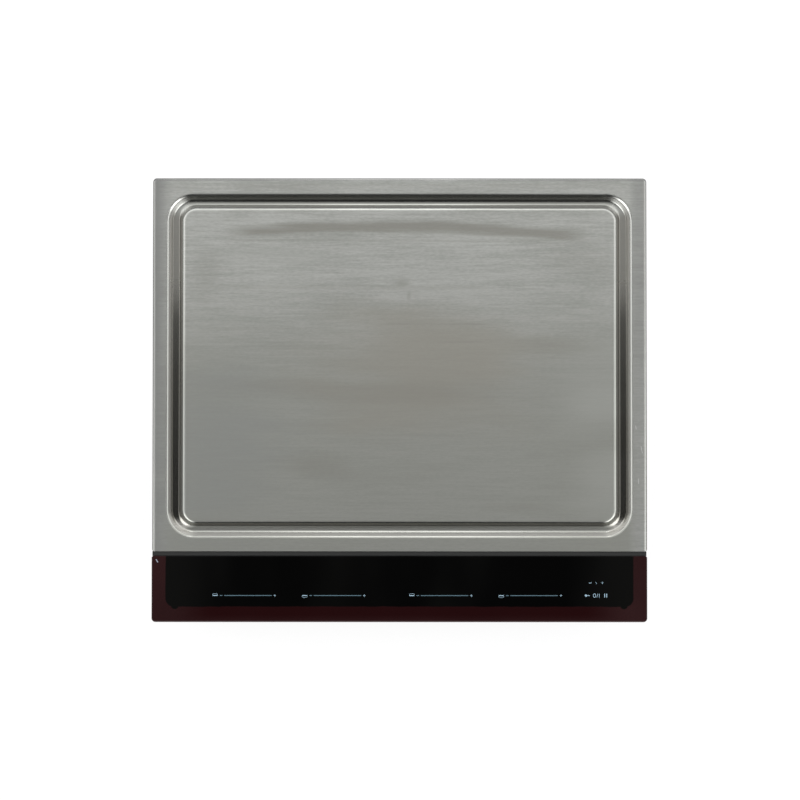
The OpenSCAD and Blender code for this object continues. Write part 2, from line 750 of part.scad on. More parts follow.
module film_capacitors() {
  color([0.70, 0.16, 0.12]) {
    for (side = [-1, 1]) for (y = [-1.5:1:1.5])
      translate([side * (bay_x + sink_w / 2 + 24) - 13, board_y + y * 34 - 8, board_top_z])
        cube([26, 16, 20]);
    translate([-filter_w / 2 + 14, filter_y + 12, board_top_z]) cube([28, 13, 20]);
  }
}

module board_relays() {
  color([0.14, 0.20, 0.36]) for (side = [-1, 1]) for (x = [-1, 1])
    translate([side * bay_x + x * 28 - 9, board_y - board_l / 2 + 6, board_top_z]) cube([18, 15, 15]);
}

module filter_board() {
  color([0.12, 0.36, 0.22]) difference() {
    translate([-filter_w / 2, filter_y - filter_l / 2, board_z]) cube([filter_w, filter_l, pcb_t]);
    translate([0, 0, board_z - cut]) filter_post_places() cylinder(h = pcb_t + 2 * cut, r = m3_r + 0.3);
  }
}

module filter_choke() {
  color([0.68, 0.38, 0.16]) translate([4, filter_y - 10, board_top_z]) {
    tube(14, 16, 8);
    for (k = [0:11]) rotate([0, 0, 30 * k + 15]) translate([15.6, -1.5, 0]) cube([2.4, 3, 14]);
  }
}

module supply_leads() {
  color([0.25, 0.25, 0.27]) {
    for (k = [0:2]) lead(
      [box_x - 12, box_y - 7 + 7 * k, box_top_z - box_t], [filter_w / 2 - 20, box_y - 7 + 7 * k, board_top_z],
      box_top_z + 8, supply_r, 4
    );
    for (side = [-1, 1]) for (k = [0, 1]) lead(
      [side * (34 + 7 * k), filter_y - filter_l / 2 + 8, board_top_z],
      [side * (bay_x - board_w / 2 + 14 + 8 * k), board_y + 60, board_top_z],
      board_top_z + 22, supply_r, 4
    );
  }
}

module at_fan(side) {
  translate([side * bay_x, fan_y, floor_z]) children();
}

module fan_hole_places() {
  for (x = [-1, 1]) for (y = [-1, 1])
    translate([x * (fan_size / 2 - 4.5), y * (fan_size / 2 - 4.5), 0]) children();
}

module fan_frame(side) {
  color([0.10, 0.10, 0.11]) at_fan(side) {
    difference() {
      translate([-fan_size / 2, -fan_size / 2, 0]) cube([fan_size, fan_size, fan_h]);
      translate([0, 0, -cut]) cylinder(h = fan_h + 2 * cut, r = fan_bore_r);
      translate([0, 0, -cut]) fan_hole_places() cylinder(h = fan_h + 2 * cut, r = m3_r + 0.2);
    }
    translate([0, 0, fan_h - 4]) cylinder(h = 4, r = fan_hub_r);
    for (k = [0:3]) rotate([0, 0, 90 * k]) translate([fan_hub_r - 2, -2, fan_h - fan_spoke_t])
      cube([fan_bore_r - fan_hub_r + 4, 4, fan_spoke_t]);
    translate([0, 0, 4]) cylinder(h = fan_h - 5, r = shaft_r);
  }
}

module fan_rotor(side) {
  rotor_h = fan_h - 7;
  rotor_z = 2;
  tip_r = fan_bore_r - fan_tip_gap;
  color([0.15, 0.15, 0.16]) at_fan(side) translate([0, 0, rotor_z]) difference() {
    union() {
      cylinder(h = rotor_h, r = fan_hub_r);
      intersection() {
        tube(rotor_h, tip_r, fan_hub_r - 1);
        for (k = [0:blade_count - 1]) rotate([0, 0, k * 360 / blade_count])
          translate([(tip_r + fan_hub_r) / 2, 0, rotor_h / 2]) rotate([48, 0, 0])
            cube([tip_r - fan_hub_r + 6, 2, 34], center = true);
      }
    }
    translate([0, 0, 2]) cylinder(h = rotor_h, r = shaft_r + run_gap);
  }
}

module small_screw(l) {
  head_h = 2;
  cylinder(h = l, r = m3_r);
  translate([0, 0, l]) difference() {
    cylinder(h = head_h, r = 2.8);
    translate([0, 0, head_h - 1]) cylinder(h = 1 + cut, r = 1, $fn = 6);
  }
}

module small_screws() {
  color([0.78, 0.78, 0.79]) {
    translate([0, 0, floor_z + 2]) post_places() small_screw(post_h + pcb_t - 2);
    translate([0, 0, floor_z + 2]) filter_post_places() small_screw(post_h + pcb_t - 2);
    for (side = [-1, 1]) at_fan(side) fan_hole_places() small_screw(fan_h);
  }
}

module air_guide() {
  inner = fan_size / 2 + guide_gap;
  rear_y = fan_y + fan_size / 2 + guide_gap + guide_t;
  wall_front_y = board_y + board_l / 2 + 2;
  color([0.20, 0.20, 0.21]) for (side = [-1, 1]) translate([side * bay_x, 0, 0]) {
    for (edge = [-1, 1]) translate([edge * (inner + guide_t / 2) - guide_t / 2, wall_front_y, floor_z])
      cube([guide_t, rear_y - wall_front_y, guide_top_z - floor_z]);
    translate([-inner - guide_t, rear_y - guide_t, floor_z])
      cube([2 * (inner + guide_t), guide_t, guide_top_z - floor_z]);
    translate([-inner - guide_t, wall_front_y - 26, guide_top_z - guide_t])
      cube([2 * (inner + guide_t), rear_y - wall_front_y + 26, guide_t]);
  }
}

// Touch controls

module control_carrier() {
  rear_notch = ribbon_w + 4;
  wall_top_z = mask_z - fit_gap;
  color([0.13, 0.13, 0.14]) {
    difference() {
      box_at(
        [touch_left_x - 3, carrier_front_y, control_base_z],
        [touch_right_x + 3, carrier_rear_y, wall_top_z]
      );
      box_at(
        [touch_left_x - 3 + carrier_wall, carrier_front_y + carrier_wall, control_base_z + 2],
        [touch_right_x + 3 - carrier_wall, carrier_rear_y - carrier_wall, wall_top_z + cut]
      );
      box_at(
        [ribbon_x - rear_notch / 2, carrier_rear_y - carrier_wall - cut, touch_top_z - 1],
        [ribbon_x + rear_notch / 2, carrier_rear_y + cut, wall_top_z + cut]
      );
    }
    for (x = [touch_left_x + 6:34:touch_right_x - 6]) box_at(
      [x, carrier_front_y + carrier_wall - 0.2, control_base_z + 1.8], [x + 1.6, touch_rear_y - 2, touch_z]
    );
  }
}

module touch_board() {
  color([0.10, 0.30, 0.22]) box_at(
    [touch_left_x, carrier_front_y + carrier_wall + fit_gap, touch_z],
    [touch_right_x, touch_rear_y, touch_top_z]
  );
}

module touch_pads() {
  pad_r = 3;
  pads = 7;
  step = slider_l / (pads - 1);
  color([0.80, 0.76, 0.62]) {
    for (x = SLIDERS) for (i = [0:pads - 1]) translate([x - slider_l / 2 + i * step, key_row_y, touch_top_z])
      cylinder(h = mask_z - touch_top_z, r = pad_r);
    for (p = KEYS) translate([p[0], p[1], touch_top_z]) cylinder(h = mask_z - touch_top_z, r = pad_r);
  }
}

module display_modules() {
  color([0.05, 0.05, 0.05]) for (x = concat(SLIDERS, [touch_right_x - 52.5]))
    translate([x - 7, timer_row_y - 3, touch_top_z]) cube([14, 9, mask_z - touch_top_z - fit_gap]);
}

module ribbon_cable() {
  start_y = touch_rear_y - 8;
  end_y = board_y - board_l / 2 + 3;
  run_z = board_top_z + 9;
  color([0.75, 0.76, 0.78]) translate([ribbon_x - ribbon_w / 2, 0, 0]) rotate([90, 0, 90])
    linear_extrude(ribbon_w) polygon([
      [start_y, touch_top_z], [ribbon_drop_y, touch_top_z], [ribbon_drop_y, run_z],
      [end_y - ribbon_t, run_z], [end_y - ribbon_t, board_top_z], [end_y, board_top_z],
      [end_y, run_z + ribbon_t], [ribbon_drop_y + ribbon_t, run_z + ribbon_t],
      [ribbon_drop_y + ribbon_t, touch_top_z + ribbon_t], [start_y, touch_top_z + ribbon_t]
    ]);
}

// Terminal box

module terminal_box() {
  low = [box_x - box_w / 2, box_rear_y - box_d, floor_z];
  high = [box_x + box_w / 2, box_rear_y, box_top_z];
  color([0.09, 0.09, 0.10]) difference() {
    union() {
      difference() {
        box_at(low, high);
        box_at(low + [box_t, box_t, -cut], high - [box_t, box_t, box_t]);
      }
      translate([box_x, box_rear_y + inlet_l - box_t, inlet_z]) rotate([90, 0, 0])
        cylinder(h = inlet_l, r = inlet_r + inlet_t);
      for (side = [-1, 1]) translate([box_x + side * (box_w / 2 - box_t - 1.2), lid_pin_y, lid_pin_z])
        rotate([0, 90, 0]) cylinder(h = 2.6, r = lid_pin_r, center = true);
    }
    translate([box_x, box_rear_y + inlet_l, inlet_z]) rotate([90, 0, 0])
      cylinder(h = inlet_l + box_t + 2 * cut, r = inlet_r);
    for (k = [0:2]) translate([box_x - 12, box_y - 7 + 7 * k, box_top_z - box_t - cut])
      cylinder(h = box_t + 2 * cut, r = supply_r + fit_gap);
  }
}

module terminal_lid() {
  half_w = box_w / 2 - box_t - lid_gap;
  barrel_r = 2.9;
  color([0.11, 0.11, 0.12]) difference() {
    union() {
      box_at(
        [box_x - half_w, box_rear_y - box_d + box_t + lid_gap, lid_z],
        [box_x + half_w, lid_pin_y + lid_tail, lid_z + lid_t]
      );
      for (side = [-1, 1]) translate([box_x + side * (half_w - 2), lid_pin_y, lid_pin_z]) rotate([0, 90, 0])
        cylinder(h = 4, r = barrel_r, center = true);
      for (side = [-1, 1]) translate([box_x + side * (half_w - 2) - 2, lid_pin_y - barrel_r, lid_z])
        cube([4, barrel_r, lid_pin_z - lid_z]);
    }
    translate([box_x, lid_pin_y, lid_pin_z]) rotate([0, 90, 0])
      cylinder(h = box_w, r = lid_pin_r + run_gap, center = true);
  }
}

module terminal_block() {
  block_h = 9;
  top = box_top_z - box_t;
  color([0.80, 0.79, 0.74]) difference() {
    box_at([box_x - 20, box_y - 13, top - block_h], [box_x + 20, box_y + 11, top]);
    for (x = [-2:2]) translate([box_x + x * 7.4, box_y - 7, top - block_h - cut])
      cylinder(h = cut + 5, r = 2.2);
  }
}

// Hold-down clamps

module at_clamp(n) {
  translate([CLAMPS[n - 1][0] * pivot_x, cutout_shift + CLAMPS[n - 1][1] * clamp_span / 2, 0]) children();
}

module clamp_brackets() {
  plate_h = 26;
  color([0.70, 0.71, 0.72]) for (n = [1:4]) {
    side = CLAMPS[n - 1][0];
    at_clamp(n) difference() {
      union() {
        translate([side > 0 ? tray_w / 2 - pivot_x : -tray_w / 2 + pivot_x - ear_t, -14, ear_z])
          cube([ear_t, 28, plate_h]);
        translate([side > 0 ? tray_w / 2 - pivot_x : -5, -8, ear_z])
          cube([pivot_x - tray_w / 2 + 5, 16, ear_t]);
      }
      translate([0, 0, ear_z - cut]) cylinder(h = ear_t + 2 * cut, r = pivot_r + run_gap);
    }
  }
}

module clamp_rivets() {
  head_h = 1.4;
  color([0.62, 0.62, 0.64]) for (n = [1:4]) at_clamp(n) {
    translate([0, 0, ear_z]) cylinder(h = arm_z + arm_t + 0.2 - ear_z, r = pivot_r);
    translate([0, 0, ear_z - head_h]) cylinder(h = head_h, r = 3.6);
    translate([0, 0, arm_z + arm_t + 0.2]) cylinder(h = head_h, r = 3.6);
  }
}

// The arm is folded along the tray, towards the middle of the side
module clamp_arm(n) {
  toward = -CLAMPS[n - 1][1];
  color([0.76, 0.77, 0.78]) at_clamp(n) translate([0, 0, arm_z]) difference() {
    union() {
      cylinder(h = arm_t, r = arm_half);
      translate([-arm_half, toward > 0 ? 0 : -arm_reach, 0]) cube([2 * arm_half, arm_reach, arm_t]);
      translate([0, toward * arm_reach, 0]) cylinder(h = boss_h, r = arm_half);
    }
    translate([0, 0, -cut]) cylinder(h = arm_t + 2 * cut, r = pivot_r + run_gap);
    translate([0, toward * arm_reach, -cut]) cylinder(h = boss_h + 2 * cut, r = screw_r + run_gap);
  }
}

module clamp_screw(n) {
  toward = -CLAMPS[n - 1][1];
  color([0.30, 0.30, 0.32]) at_clamp(n) translate([0, toward * arm_reach, 0]) {
    translate([0, 0, screw_head_z + screw_head_h])
      cylinder(h = screw_tip_z - screw_head_z - screw_head_h, r = screw_r);
    translate([0, 0, screw_head_z]) difference() {
      cylinder(h = screw_head_h, r = 4.2);
      translate([0, 0, -cut]) cylinder(h = cut + 1.8, r = 1.6, $fn = 6);
    }
    translate([0, 0, screw_tip_z]) cylinder(h = screw_tip_h, r = 4.4);
  }
}

griddle_plate();
plate_sealant();
divider_trim();
control_glass();
glass_sealant();
glass_mask();
carrier_frame();
worktop_gasket();
insulation_mat();
mica_sheet();
coil_carrier(1);  // coil_carrier_1
coil_carrier(2);  // coil_carrier_2
coil_carrier(3);  // coil_carrier_3
coil_carrier(4);  // coil_carrier_4
coil_winding(1);  // coil_winding_1
coil_winding(2);  // coil_winding_2
coil_winding(3);  // coil_winding_3
coil_winding(4);  // coil_winding_4
ferrite_bars();
temperature_sensors();
coil_springs();
coil_shelf();
coil_leads();
bottom_tray();
tray_screws();
power_board(-1);  // power_board_left
power_board(1);  // power_board_right
heat_sink(-1);  // heat_sink_left
heat_sink(1);  // heat_sink_right
power_transistors();
bridge_rectifiers();
film_capacitors();
board_relays();
filter_board();
filter_choke();
supply_leads();
fan_frame(-1);  // fan_frame_left
fan_frame(1);  // fan_frame_right
fan_rotor(-1);  // fan_rotor_left
fan_rotor(1);  // fan_rotor_right
small_screws();
air_guide();
control_carrier();
touch_board();
touch_pads();
display_modules();
ribbon_cable();
terminal_box();
terminal_lid();
terminal_block();
clamp_brackets();
clamp_rivets();
clamp_arm(1);  // clamp_arm_1
clamp_arm(2);  // clamp_arm_2
clamp_arm(3);  // clamp_arm_3
clamp_arm(4);  // clamp_arm_4
clamp_screw(1);  // clamp_screw_1
clamp_screw(2);  // clamp_screw_2
clamp_screw(3);  // clamp_screw_3
clamp_screw(4);  // clamp_screw_4
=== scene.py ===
# %% [markdown]
# # A built-in induction griddle cooktop
# The cooktop hangs in a worktop: a pressed steel griddle plate with a grease groove all round, a
# glass touch panel along its front edge, and a sheet steel housing below with coils, power boards
# and fans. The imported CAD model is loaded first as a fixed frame, so that every dimension comes
# from it and nothing here has to be fitted by eye. Lengths are in metres.

# %% Load the frame
import json
import math
import bmesh
import bpy
from mathutils import Matrix, Vector


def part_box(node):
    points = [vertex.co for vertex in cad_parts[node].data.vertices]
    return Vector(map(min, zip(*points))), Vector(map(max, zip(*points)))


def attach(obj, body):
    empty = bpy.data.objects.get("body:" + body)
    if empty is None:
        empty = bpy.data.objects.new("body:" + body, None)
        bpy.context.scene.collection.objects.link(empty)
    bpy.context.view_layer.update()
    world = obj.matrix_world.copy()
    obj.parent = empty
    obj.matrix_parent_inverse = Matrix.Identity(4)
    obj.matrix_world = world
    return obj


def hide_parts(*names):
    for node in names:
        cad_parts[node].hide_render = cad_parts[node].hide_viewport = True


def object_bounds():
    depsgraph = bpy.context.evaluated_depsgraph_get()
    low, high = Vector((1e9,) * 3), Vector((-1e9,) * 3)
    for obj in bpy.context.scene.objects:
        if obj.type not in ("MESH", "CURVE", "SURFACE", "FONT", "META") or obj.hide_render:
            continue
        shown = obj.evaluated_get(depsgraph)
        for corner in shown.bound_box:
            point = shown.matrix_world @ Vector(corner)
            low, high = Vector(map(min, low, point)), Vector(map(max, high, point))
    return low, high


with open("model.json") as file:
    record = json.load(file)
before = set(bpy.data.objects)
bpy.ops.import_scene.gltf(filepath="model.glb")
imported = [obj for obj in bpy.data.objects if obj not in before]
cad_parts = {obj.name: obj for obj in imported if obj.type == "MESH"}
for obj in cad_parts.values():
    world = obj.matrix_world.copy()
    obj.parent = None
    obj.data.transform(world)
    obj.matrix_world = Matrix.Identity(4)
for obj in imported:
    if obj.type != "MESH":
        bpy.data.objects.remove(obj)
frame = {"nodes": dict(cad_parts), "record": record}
cad_box = [list(corner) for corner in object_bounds()]
mm = 0.001

# %% [markdown]
# ## Helpers for finishes
# A finish is a node tree on the Principled shader. Most of them need the same few steps: a pattern
# of noise on the piece's own coordinates, a smooth step between two values, a mix of two colours
# and a little relief. Each step is a short function, so that the trees below read like recipes.
# The first helpers are sums: each adds Math nodes to a tree and returns the last one's output, and
# takes plain numbers and outputs of other nodes alike.

# %% Sums
def add_node(tree, kind, inputs=None, **settings):
    node = tree.nodes.new(kind)
    for name, value in settings.items():
        setattr(node, name, value)
    for name, value in (inputs or {}).items():
        if isinstance(value, bpy.types.NodeSocket):
            tree.links.new(value, node.inputs[name])
        else:
            node.inputs[name].default_value = value
    return node


def calc(tree, operation, *values):
    return add_node(tree, "ShaderNodeMath", dict(enumerate(values)), operation=operation).outputs[0]


def chain(tree, operation, first, others):
    for other in others:
        first = calc(tree, operation, first, other)
    return first


def add(tree, first, *others):
    return chain(tree, "ADD", first, others)


def times(tree, first, *others):
    return chain(tree, "MULTIPLY", first, others)


def highest(tree, first, *others):
    return chain(tree, "MAXIMUM", first, others)


def minus(tree, first, second):
    return calc(tree, "SUBTRACT", first, second)


def unsigned(tree, value):
    return calc(tree, "ABSOLUTE", value)


def squared(tree, value):
    return calc(tree, "POWER", value, 2.0)


def length_of(tree, along_x, along_y):
    return calc(tree, "SQRT", add(tree, squared(tree, along_x), squared(tree, along_y)))


def in_mm(tree, metres):
    return times(tree, metres, 1 / mm)


print("sums ready")

# %% [markdown]
# ## Steps
# Hardly any mark on a real surface ends at a sharp line, so no finish compares a value with a
# limit. A Map Range node set to smooth steps turns a distance into a share that goes softly from 0
# to 1, and the other helpers combine such steps: a span between two ends, and nearness to a line.

# %% Steps and spans
def between(tree, value, low, high, start=0.0, end=1.0):
    """A smooth step from start to end while value goes from low to high."""
    inputs = {"Value": value, "From Min": low, "From Max": high, "To Min": start, "To Max": end}
    return add_node(tree, "ShaderNodeMapRange", inputs, interpolation_type="SMOOTHSTEP").outputs[0]


def span(tree, value, rise, fall):
    """1 from the end of rise to the start of fall, and 0 before and after them."""
    return times(tree, between(tree, value, *rise), between(tree, value, *fall, 1, 0))


def near(tree, value, middle, inside, outside):
    """1 within inside of the middle, falling to 0 at outside."""
    return between(tree, unsigned(tree, minus(tree, value, middle)), inside, outside, 1, 0)


def swing(tree, noise, size):
    """Noise turned into a swing about 0."""
    return times(tree, minus(tree, noise, 0.5), size)


print("steps ready")

# %% [markdown]
# ## Places and patterns
# Object coordinates are used throughout: they are metres in the cooktop's own frame, so a grain of
# a thousand lines in a metre is the same on every piece, whatever its size. Noise that is scaled
# unevenly makes lines, and Voronoi cells make crystals, flakes and square tracks.

# %% Places, grain and relief
def place_of(tree):
    return add_node(tree, "ShaderNodeTexCoord").outputs["Object"]


def axes_of(tree, place):
    return add_node(tree, "ShaderNodeSeparateXYZ", {0: place}).outputs


def oval(tree, x, y, middle, reach):
    """0 in the middle of an oval and 1 on its outline."""
    shares = [calc(tree, "DIVIDE", minus(tree, at, m), r) for at, m, r in zip((x, y), middle, reach)]
    return length_of(tree, *shares)


def grain(tree, per_metre, detail=2.0, offset=(0, 0, 0)):
    """Noise with this many grains in a metre along x, y and z."""
    inputs = {"Vector": place_of(tree), "Location": offset, "Scale": per_metre}
    place = add_node(tree, "ShaderNodeMapping", inputs).outputs[0]
    return add_node(tree, "ShaderNodeTexNoise", {"Vector": place, "Scale": 1.0, "Detail": detail}).outputs[0]


def even_grain(tree, per_metre, detail=2.0):
    return grain(tree, (per_metre, per_metre, per_metre), detail)


def cells(tree, vector, per_metre, **settings):
    """Voronoi cells: the distance to each cell's middle, and three random values for each cell."""
    inputs = {"Vector": vector, "Scale": per_metre}
    texture = add_node(tree, "ShaderNodeTexVoronoi", inputs, **settings).outputs
    return texture["Distance"], add_node(tree, "ShaderNodeSeparateColor", {0: texture["Color"]}).outputs


def relief(tree, shader, height, depth, strength):
    bump = add_node(tree, "ShaderNodeBump", {"Height": height, "Distance": depth, "Strength": strength})
    tree.links.new(bump.outputs[0], shader.inputs["Normal"])


print("grain and relief ready")

# %% [markdown]
# ## Colours
# Every finish starts as a plain Principled shader. The numbers that stay the same all over a piece
# are set on its sockets, and those that vary are linked to a tree by drive.

# %% Colours and finishes
def blend_colour(tree, factor, first, second):
    pair = [c if isinstance(c, bpy.types.NodeSocket) else (*c, 1.0) for c in (first, second)]
    return add_node(tree, "ShaderNodeMix", {0: factor, 6: pair[0], 7: pair[1]}, data_type="RGBA").outputs[2]


def darker(colour, share):
    return [c * (1 - share) for c in colour]


def lighter(colour, share):
    return [min(1.0, c * (1 + share)) for c in colour]


def new_finish(name, colour, roughness, metallic=0.0, **constants):
    """An empty finish: constants are set on the shader's own sockets."""
    finish = bpy.data.materials.new(name)
    finish.use_nodes = True
    shader = finish.node_tree.nodes["Principled BSDF"]
    shader.inputs["Base Color"].default_value = (*colour, 1.0)
    shader.inputs["Roughness"].default_value = roughness
    shader.inputs["Metallic"].default_value = metallic
    for socket, value in constants.items():
        shader.inputs[socket.replace("_", " ")].default_value = value
    return finish, finish.node_tree, shader


def drive(tree, shader, **sockets):
    """Links values to the shader's sockets, named with _ for a space."""
    for socket, value in sockets.items():
        tree.links.new(value, shader.inputs[socket.replace("_", " ")])


print("helpers ready")

# %% [markdown]
# ## The griddle sheet
# The real plate is one steel sheet, 1.5 mm thick. A press forms the groove and folds the edges
# down. It could be drawn as boxes with a groove cut out, but then the rounded shoulders, which
# carry all the highlights, would be missing. Here it grows like the pressing itself: the flat
# field is one rounded face, and its outline is extruded outwards ring by ring along the groove's
# profile, over the rim and down the folded edge. Every vertex remembers its number in the ring,
# so each new ring can be laid as a rounded rectangle of its own size, radius and height.

# %% Sizes of the pressing
mat_low, mat_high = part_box("insulation_mat")
plate_low, plate_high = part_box("griddle_plate")
mat_gap = Vector((-0.3, 1.5)) * mm
groove_w = 20.8 * mm
side_w = 24.4 * mm
groove_depth = 6.0 * mm
shoulder_r = 4.4 * mm
foot_r = 4.4 * mm
side_shoulder_r = 6.0 * mm
side_foot_r = 1.4 * mm
inner_bowl_r = 11.0 * mm
outer_bowl_r = 5.0 * mm
wall_angle = math.radians(46)
outer_shoulder_r = 34.0 * mm
bend_r = 5.5 * mm
bend_angle = math.radians(44)
front_bend = 0.05
edge_flat = 0.3 * mm
corner_share = 0.9
rear_corner_r = 4.6 * mm
front_corner_r = 2.4 * mm
sheet_t = 1.5 * mm
edge_past = Vector((0.4, 0.9)) * mm
bend_end = 0.05 * mm
top_z = plate_high.z
seat_z = plate_low.z
corner_steps = 20
arc_steps = 8
field_low = mat_low.xy - mat_gap
field_high = mat_high.xy + mat_gap
field_r = outer_shoulder_r - groove_w
print("flat field %.1f by %.1f mm" % tuple((field_high - field_low) / mm))

# %% [markdown]
# ## Profile of the groove
# Half a groove is a rounded shoulder, a short steep wall and a rounded foot. The groove is a little
# wider at the sides than in front and at the rear, and their halves have other radii, while a ring
# has one height all round. So all halves are cut at the same heights, and a point of the profile
# holds its distance at the sides and in front for one height. At its four corners the press has
# left a shallow bowl with rounder feet, the inner one most of all. That difference is the point's
# swell, by which the ring is moved where it turns.

# %% Profile of the groove
def half_profile(shoulder_r, foot_r):
    """Points from the shoulder's start down to the groove's floor: (distance, height)."""
    sine, cosine = math.sin(wall_angle), math.cos(wall_angle)
    wall_l = (groove_depth - (shoulder_r + foot_r) * (1 - cosine)) / sine
    points = []
    for step in range(arc_steps + 1):
        turn = wall_angle * step / arc_steps
        points.append((shoulder_r * math.sin(turn), -shoulder_r * (1 - math.cos(turn))))
    foot_x = shoulder_r * sine + wall_l * cosine + foot_r * sine
    for step in range(arc_steps + 1):
        turn = wall_angle * (1 - step / arc_steps)
        points.append((foot_x - foot_r * math.sin(turn), -groove_depth + foot_r * (1 - math.cos(turn))))
    return points


def distance_at(profile, height):
    """Where a half profile reaches this height."""
    for (x0, z0), (x1, z1) in zip(profile, profile[1:]):
        if z1 <= height <= z0 and z1 < z0:
            return x0 + (x1 - x0) * (z0 - height) / (z0 - z1)
    return profile[-1][0]


inner_half = half_profile(shoulder_r, foot_r)
side_half = half_profile(side_shoulder_r, side_foot_r)
heights = sorted({round(z, 7) for x, z in inner_half + side_half}, reverse=True)
inner_bowl = half_profile(shoulder_r, inner_bowl_r)
outer_bowl = half_profile(shoulder_r, outer_bowl_r)
inner_points = []
outer_points = []
for z in heights:
    x, y = distance_at(side_half, z), distance_at(inner_half, z)
    inner_points.append((x, y, distance_at(inner_bowl, z) - y, z))
    outer_points.insert(0, (side_w - x, groove_w - y, y - distance_at(outer_bowl, z), z))
groove_points = inner_points + outer_points
print("groove profile:", len(groove_points), "points")

# %% [markdown]
# ## Rings
# A ring is a rounded rectangle with the same number of points as every other ring. A point's
# number gives its corner and its share of the quarter turn, so its place is a formula. A new ring
# is the last one's edges, extruded and laid anew.

# %% Rings
def ring_place(number, low, high, rear_r, front_r, swell, z):
    corner, step = divmod(number, corner_steps + 1)
    right = corner in (0, 3)
    rear = corner < 2
    r = rear_r if rear else front_r
    turn = math.radians(90 * (corner + step / corner_steps))
    centre_x = high.x - r if right else low.x + r
    centre_y = high.y - r if rear else low.y + r
    r += swell * math.sin(2 * turn) ** 2
    return Vector((centre_x + r * math.cos(turn), centre_y + r * math.sin(turn), z))


def lay_ring(ring, numbers, *shape):
    for vertex in ring:
        vertex.co = ring_place(vertex[numbers], *shape)


def grow_ring(bm, edges):
    made = bmesh.ops.extrude_edge_only(bm, edges=edges)["geom"]
    fresh = {part for part in made if isinstance(part, bmesh.types.BMVert)}
    new_edges = [part for part in made if isinstance(part, bmesh.types.BMEdge)]
    return fresh, [edge for edge in new_edges if fresh.issuperset(edge.verts)]


def finish_object(bm, name, smooth=True):
    """Turns a bmesh into an object at the origin."""
    mesh = bpy.data.meshes.new(name)
    bm.to_mesh(mesh)
    bm.free()
    if smooth:
        mesh.shade_smooth()
    else:
        mesh.shade_flat()
    piece = bpy.data.objects.new(name, mesh)
    bpy.context.scene.collection.objects.link(piece)
    return piece


print("rings of", 4 * (corner_steps + 1), "points")

# %% [markdown]
# ## From the field to the folded edge
# A narrow flat ring on either side of the groove keeps the smooth shading of the shoulders off the
# flat field and the rim. The rim ends in a bend, which is tight in front, where the divider strip
# covers it, and the last ring stands on the frame.

# %% Shapes of the rings
flat = 0.6 * mm
before_groove = (-flat, -flat, 0.0, 0.0)
after_groove = (side_w + flat, groove_w + flat, 0.0, 0.0)
rings = []
for side, offset, swell, z in [before_groove, *groove_points, after_groove]:
    grow = Vector((side, offset))
    ring_r = field_r + offset
    rings.append((field_low - grow, field_high + grow, ring_r, ring_r, swell, top_z + z))

bend_w = bend_r * math.sin(bend_angle)
edge_profile = [(bend_w + edge_flat, 0.0)]
for share in [step / arc_steps for step in range(arc_steps)] + [0.985, 1.0]:
    turn = bend_angle * share
    edge_profile.append((bend_w - bend_r * math.sin(turn), -bend_r * (1 - math.cos(turn))))
edge_profile += [(0.0, edge_profile[-1][1] - bend_end), (0.0, seat_z - top_z)]

edge_low = plate_low.xy
edge_high = plate_high.xy + edge_past
for inset, z in edge_profile:
    low = edge_low + Vector((inset, inset * front_bend))
    high = edge_high - Vector((inset, inset))
    corner_rs = [max(r - inset * corner_share, 0.3 * mm) for r in (rear_corner_r, front_corner_r)]
    rings.append((low, high, *corner_rs, 0.0, top_z + z))
print("griddle sheet:", len(rings), "rings")

# %% [markdown]
# ## Growing the sheet
# The first ring is a circle with one face, and it is laid out as the field. All further rings grow
# from it. A UV map stores the direction of the brushing for the finish: its u runs across the
# lines and its v along them, tilted a little so that it never stands still on an upright wall. The
# wall of the sheet is left to a Solidify modifier, which keeps its thickness even round every bend.

# %% Build the griddle sheet
bm = bmesh.new()
numbers = bm.verts.layers.int.new("ring_number")
bmesh.ops.create_circle(bm, segments=4 * (corner_steps + 1), radius=1.0, cap_ends=True)
bm.verts.ensure_lookup_table()
for number, vertex in enumerate(bm.verts):
    vertex[numbers] = number
lay_ring(bm.verts, numbers, *rings[0])
edges = list(bm.edges)
for ring in rings[1:]:
    fresh, edges = grow_ring(bm, edges)
    lay_ring(fresh, numbers, *ring)
bmesh.ops.recalc_face_normals(bm, faces=bm.faces)
bm.faces.ensure_lookup_table()
if bm.faces[0].normal.z < 0:
    bmesh.ops.reverse_faces(bm, faces=bm.faces)
brushing = bm.loops.layers.uv.new("brushing")
tilt = 0.3
for face in bm.faces:
    for loop in face.loops:
        x, y, z = loop.vert.co
        loop[brushing].uv = (y + z, x + tilt * z)
griddle_sheet = finish_object(bm, "griddle_sheet")
thickness = griddle_sheet.modifiers.new("sheet thickness", "SOLIDIFY")
thickness.thickness = sheet_t
thickness.offset = -1.0
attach(griddle_sheet, "housing")
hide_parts("griddle_plate")
print("griddle sheet:", len(griddle_sheet.data.polygons), "faces before its thickness")

# %% [markdown]
# ## Brushed steel for the griddle
# The real sheet is brushed along the cooktop's width. The lines could be a picture, but noise that
# is stretched along x gives them at any distance: threads, hairs, broad bands and soft clouds are
# added, each with its own weight. In the groove the press has smoothed them, so there they fade.
# The finish is a stack of thin layers of colour over the brushing. Each step below adds its layers
# to a list, and the last step blends them in this order.

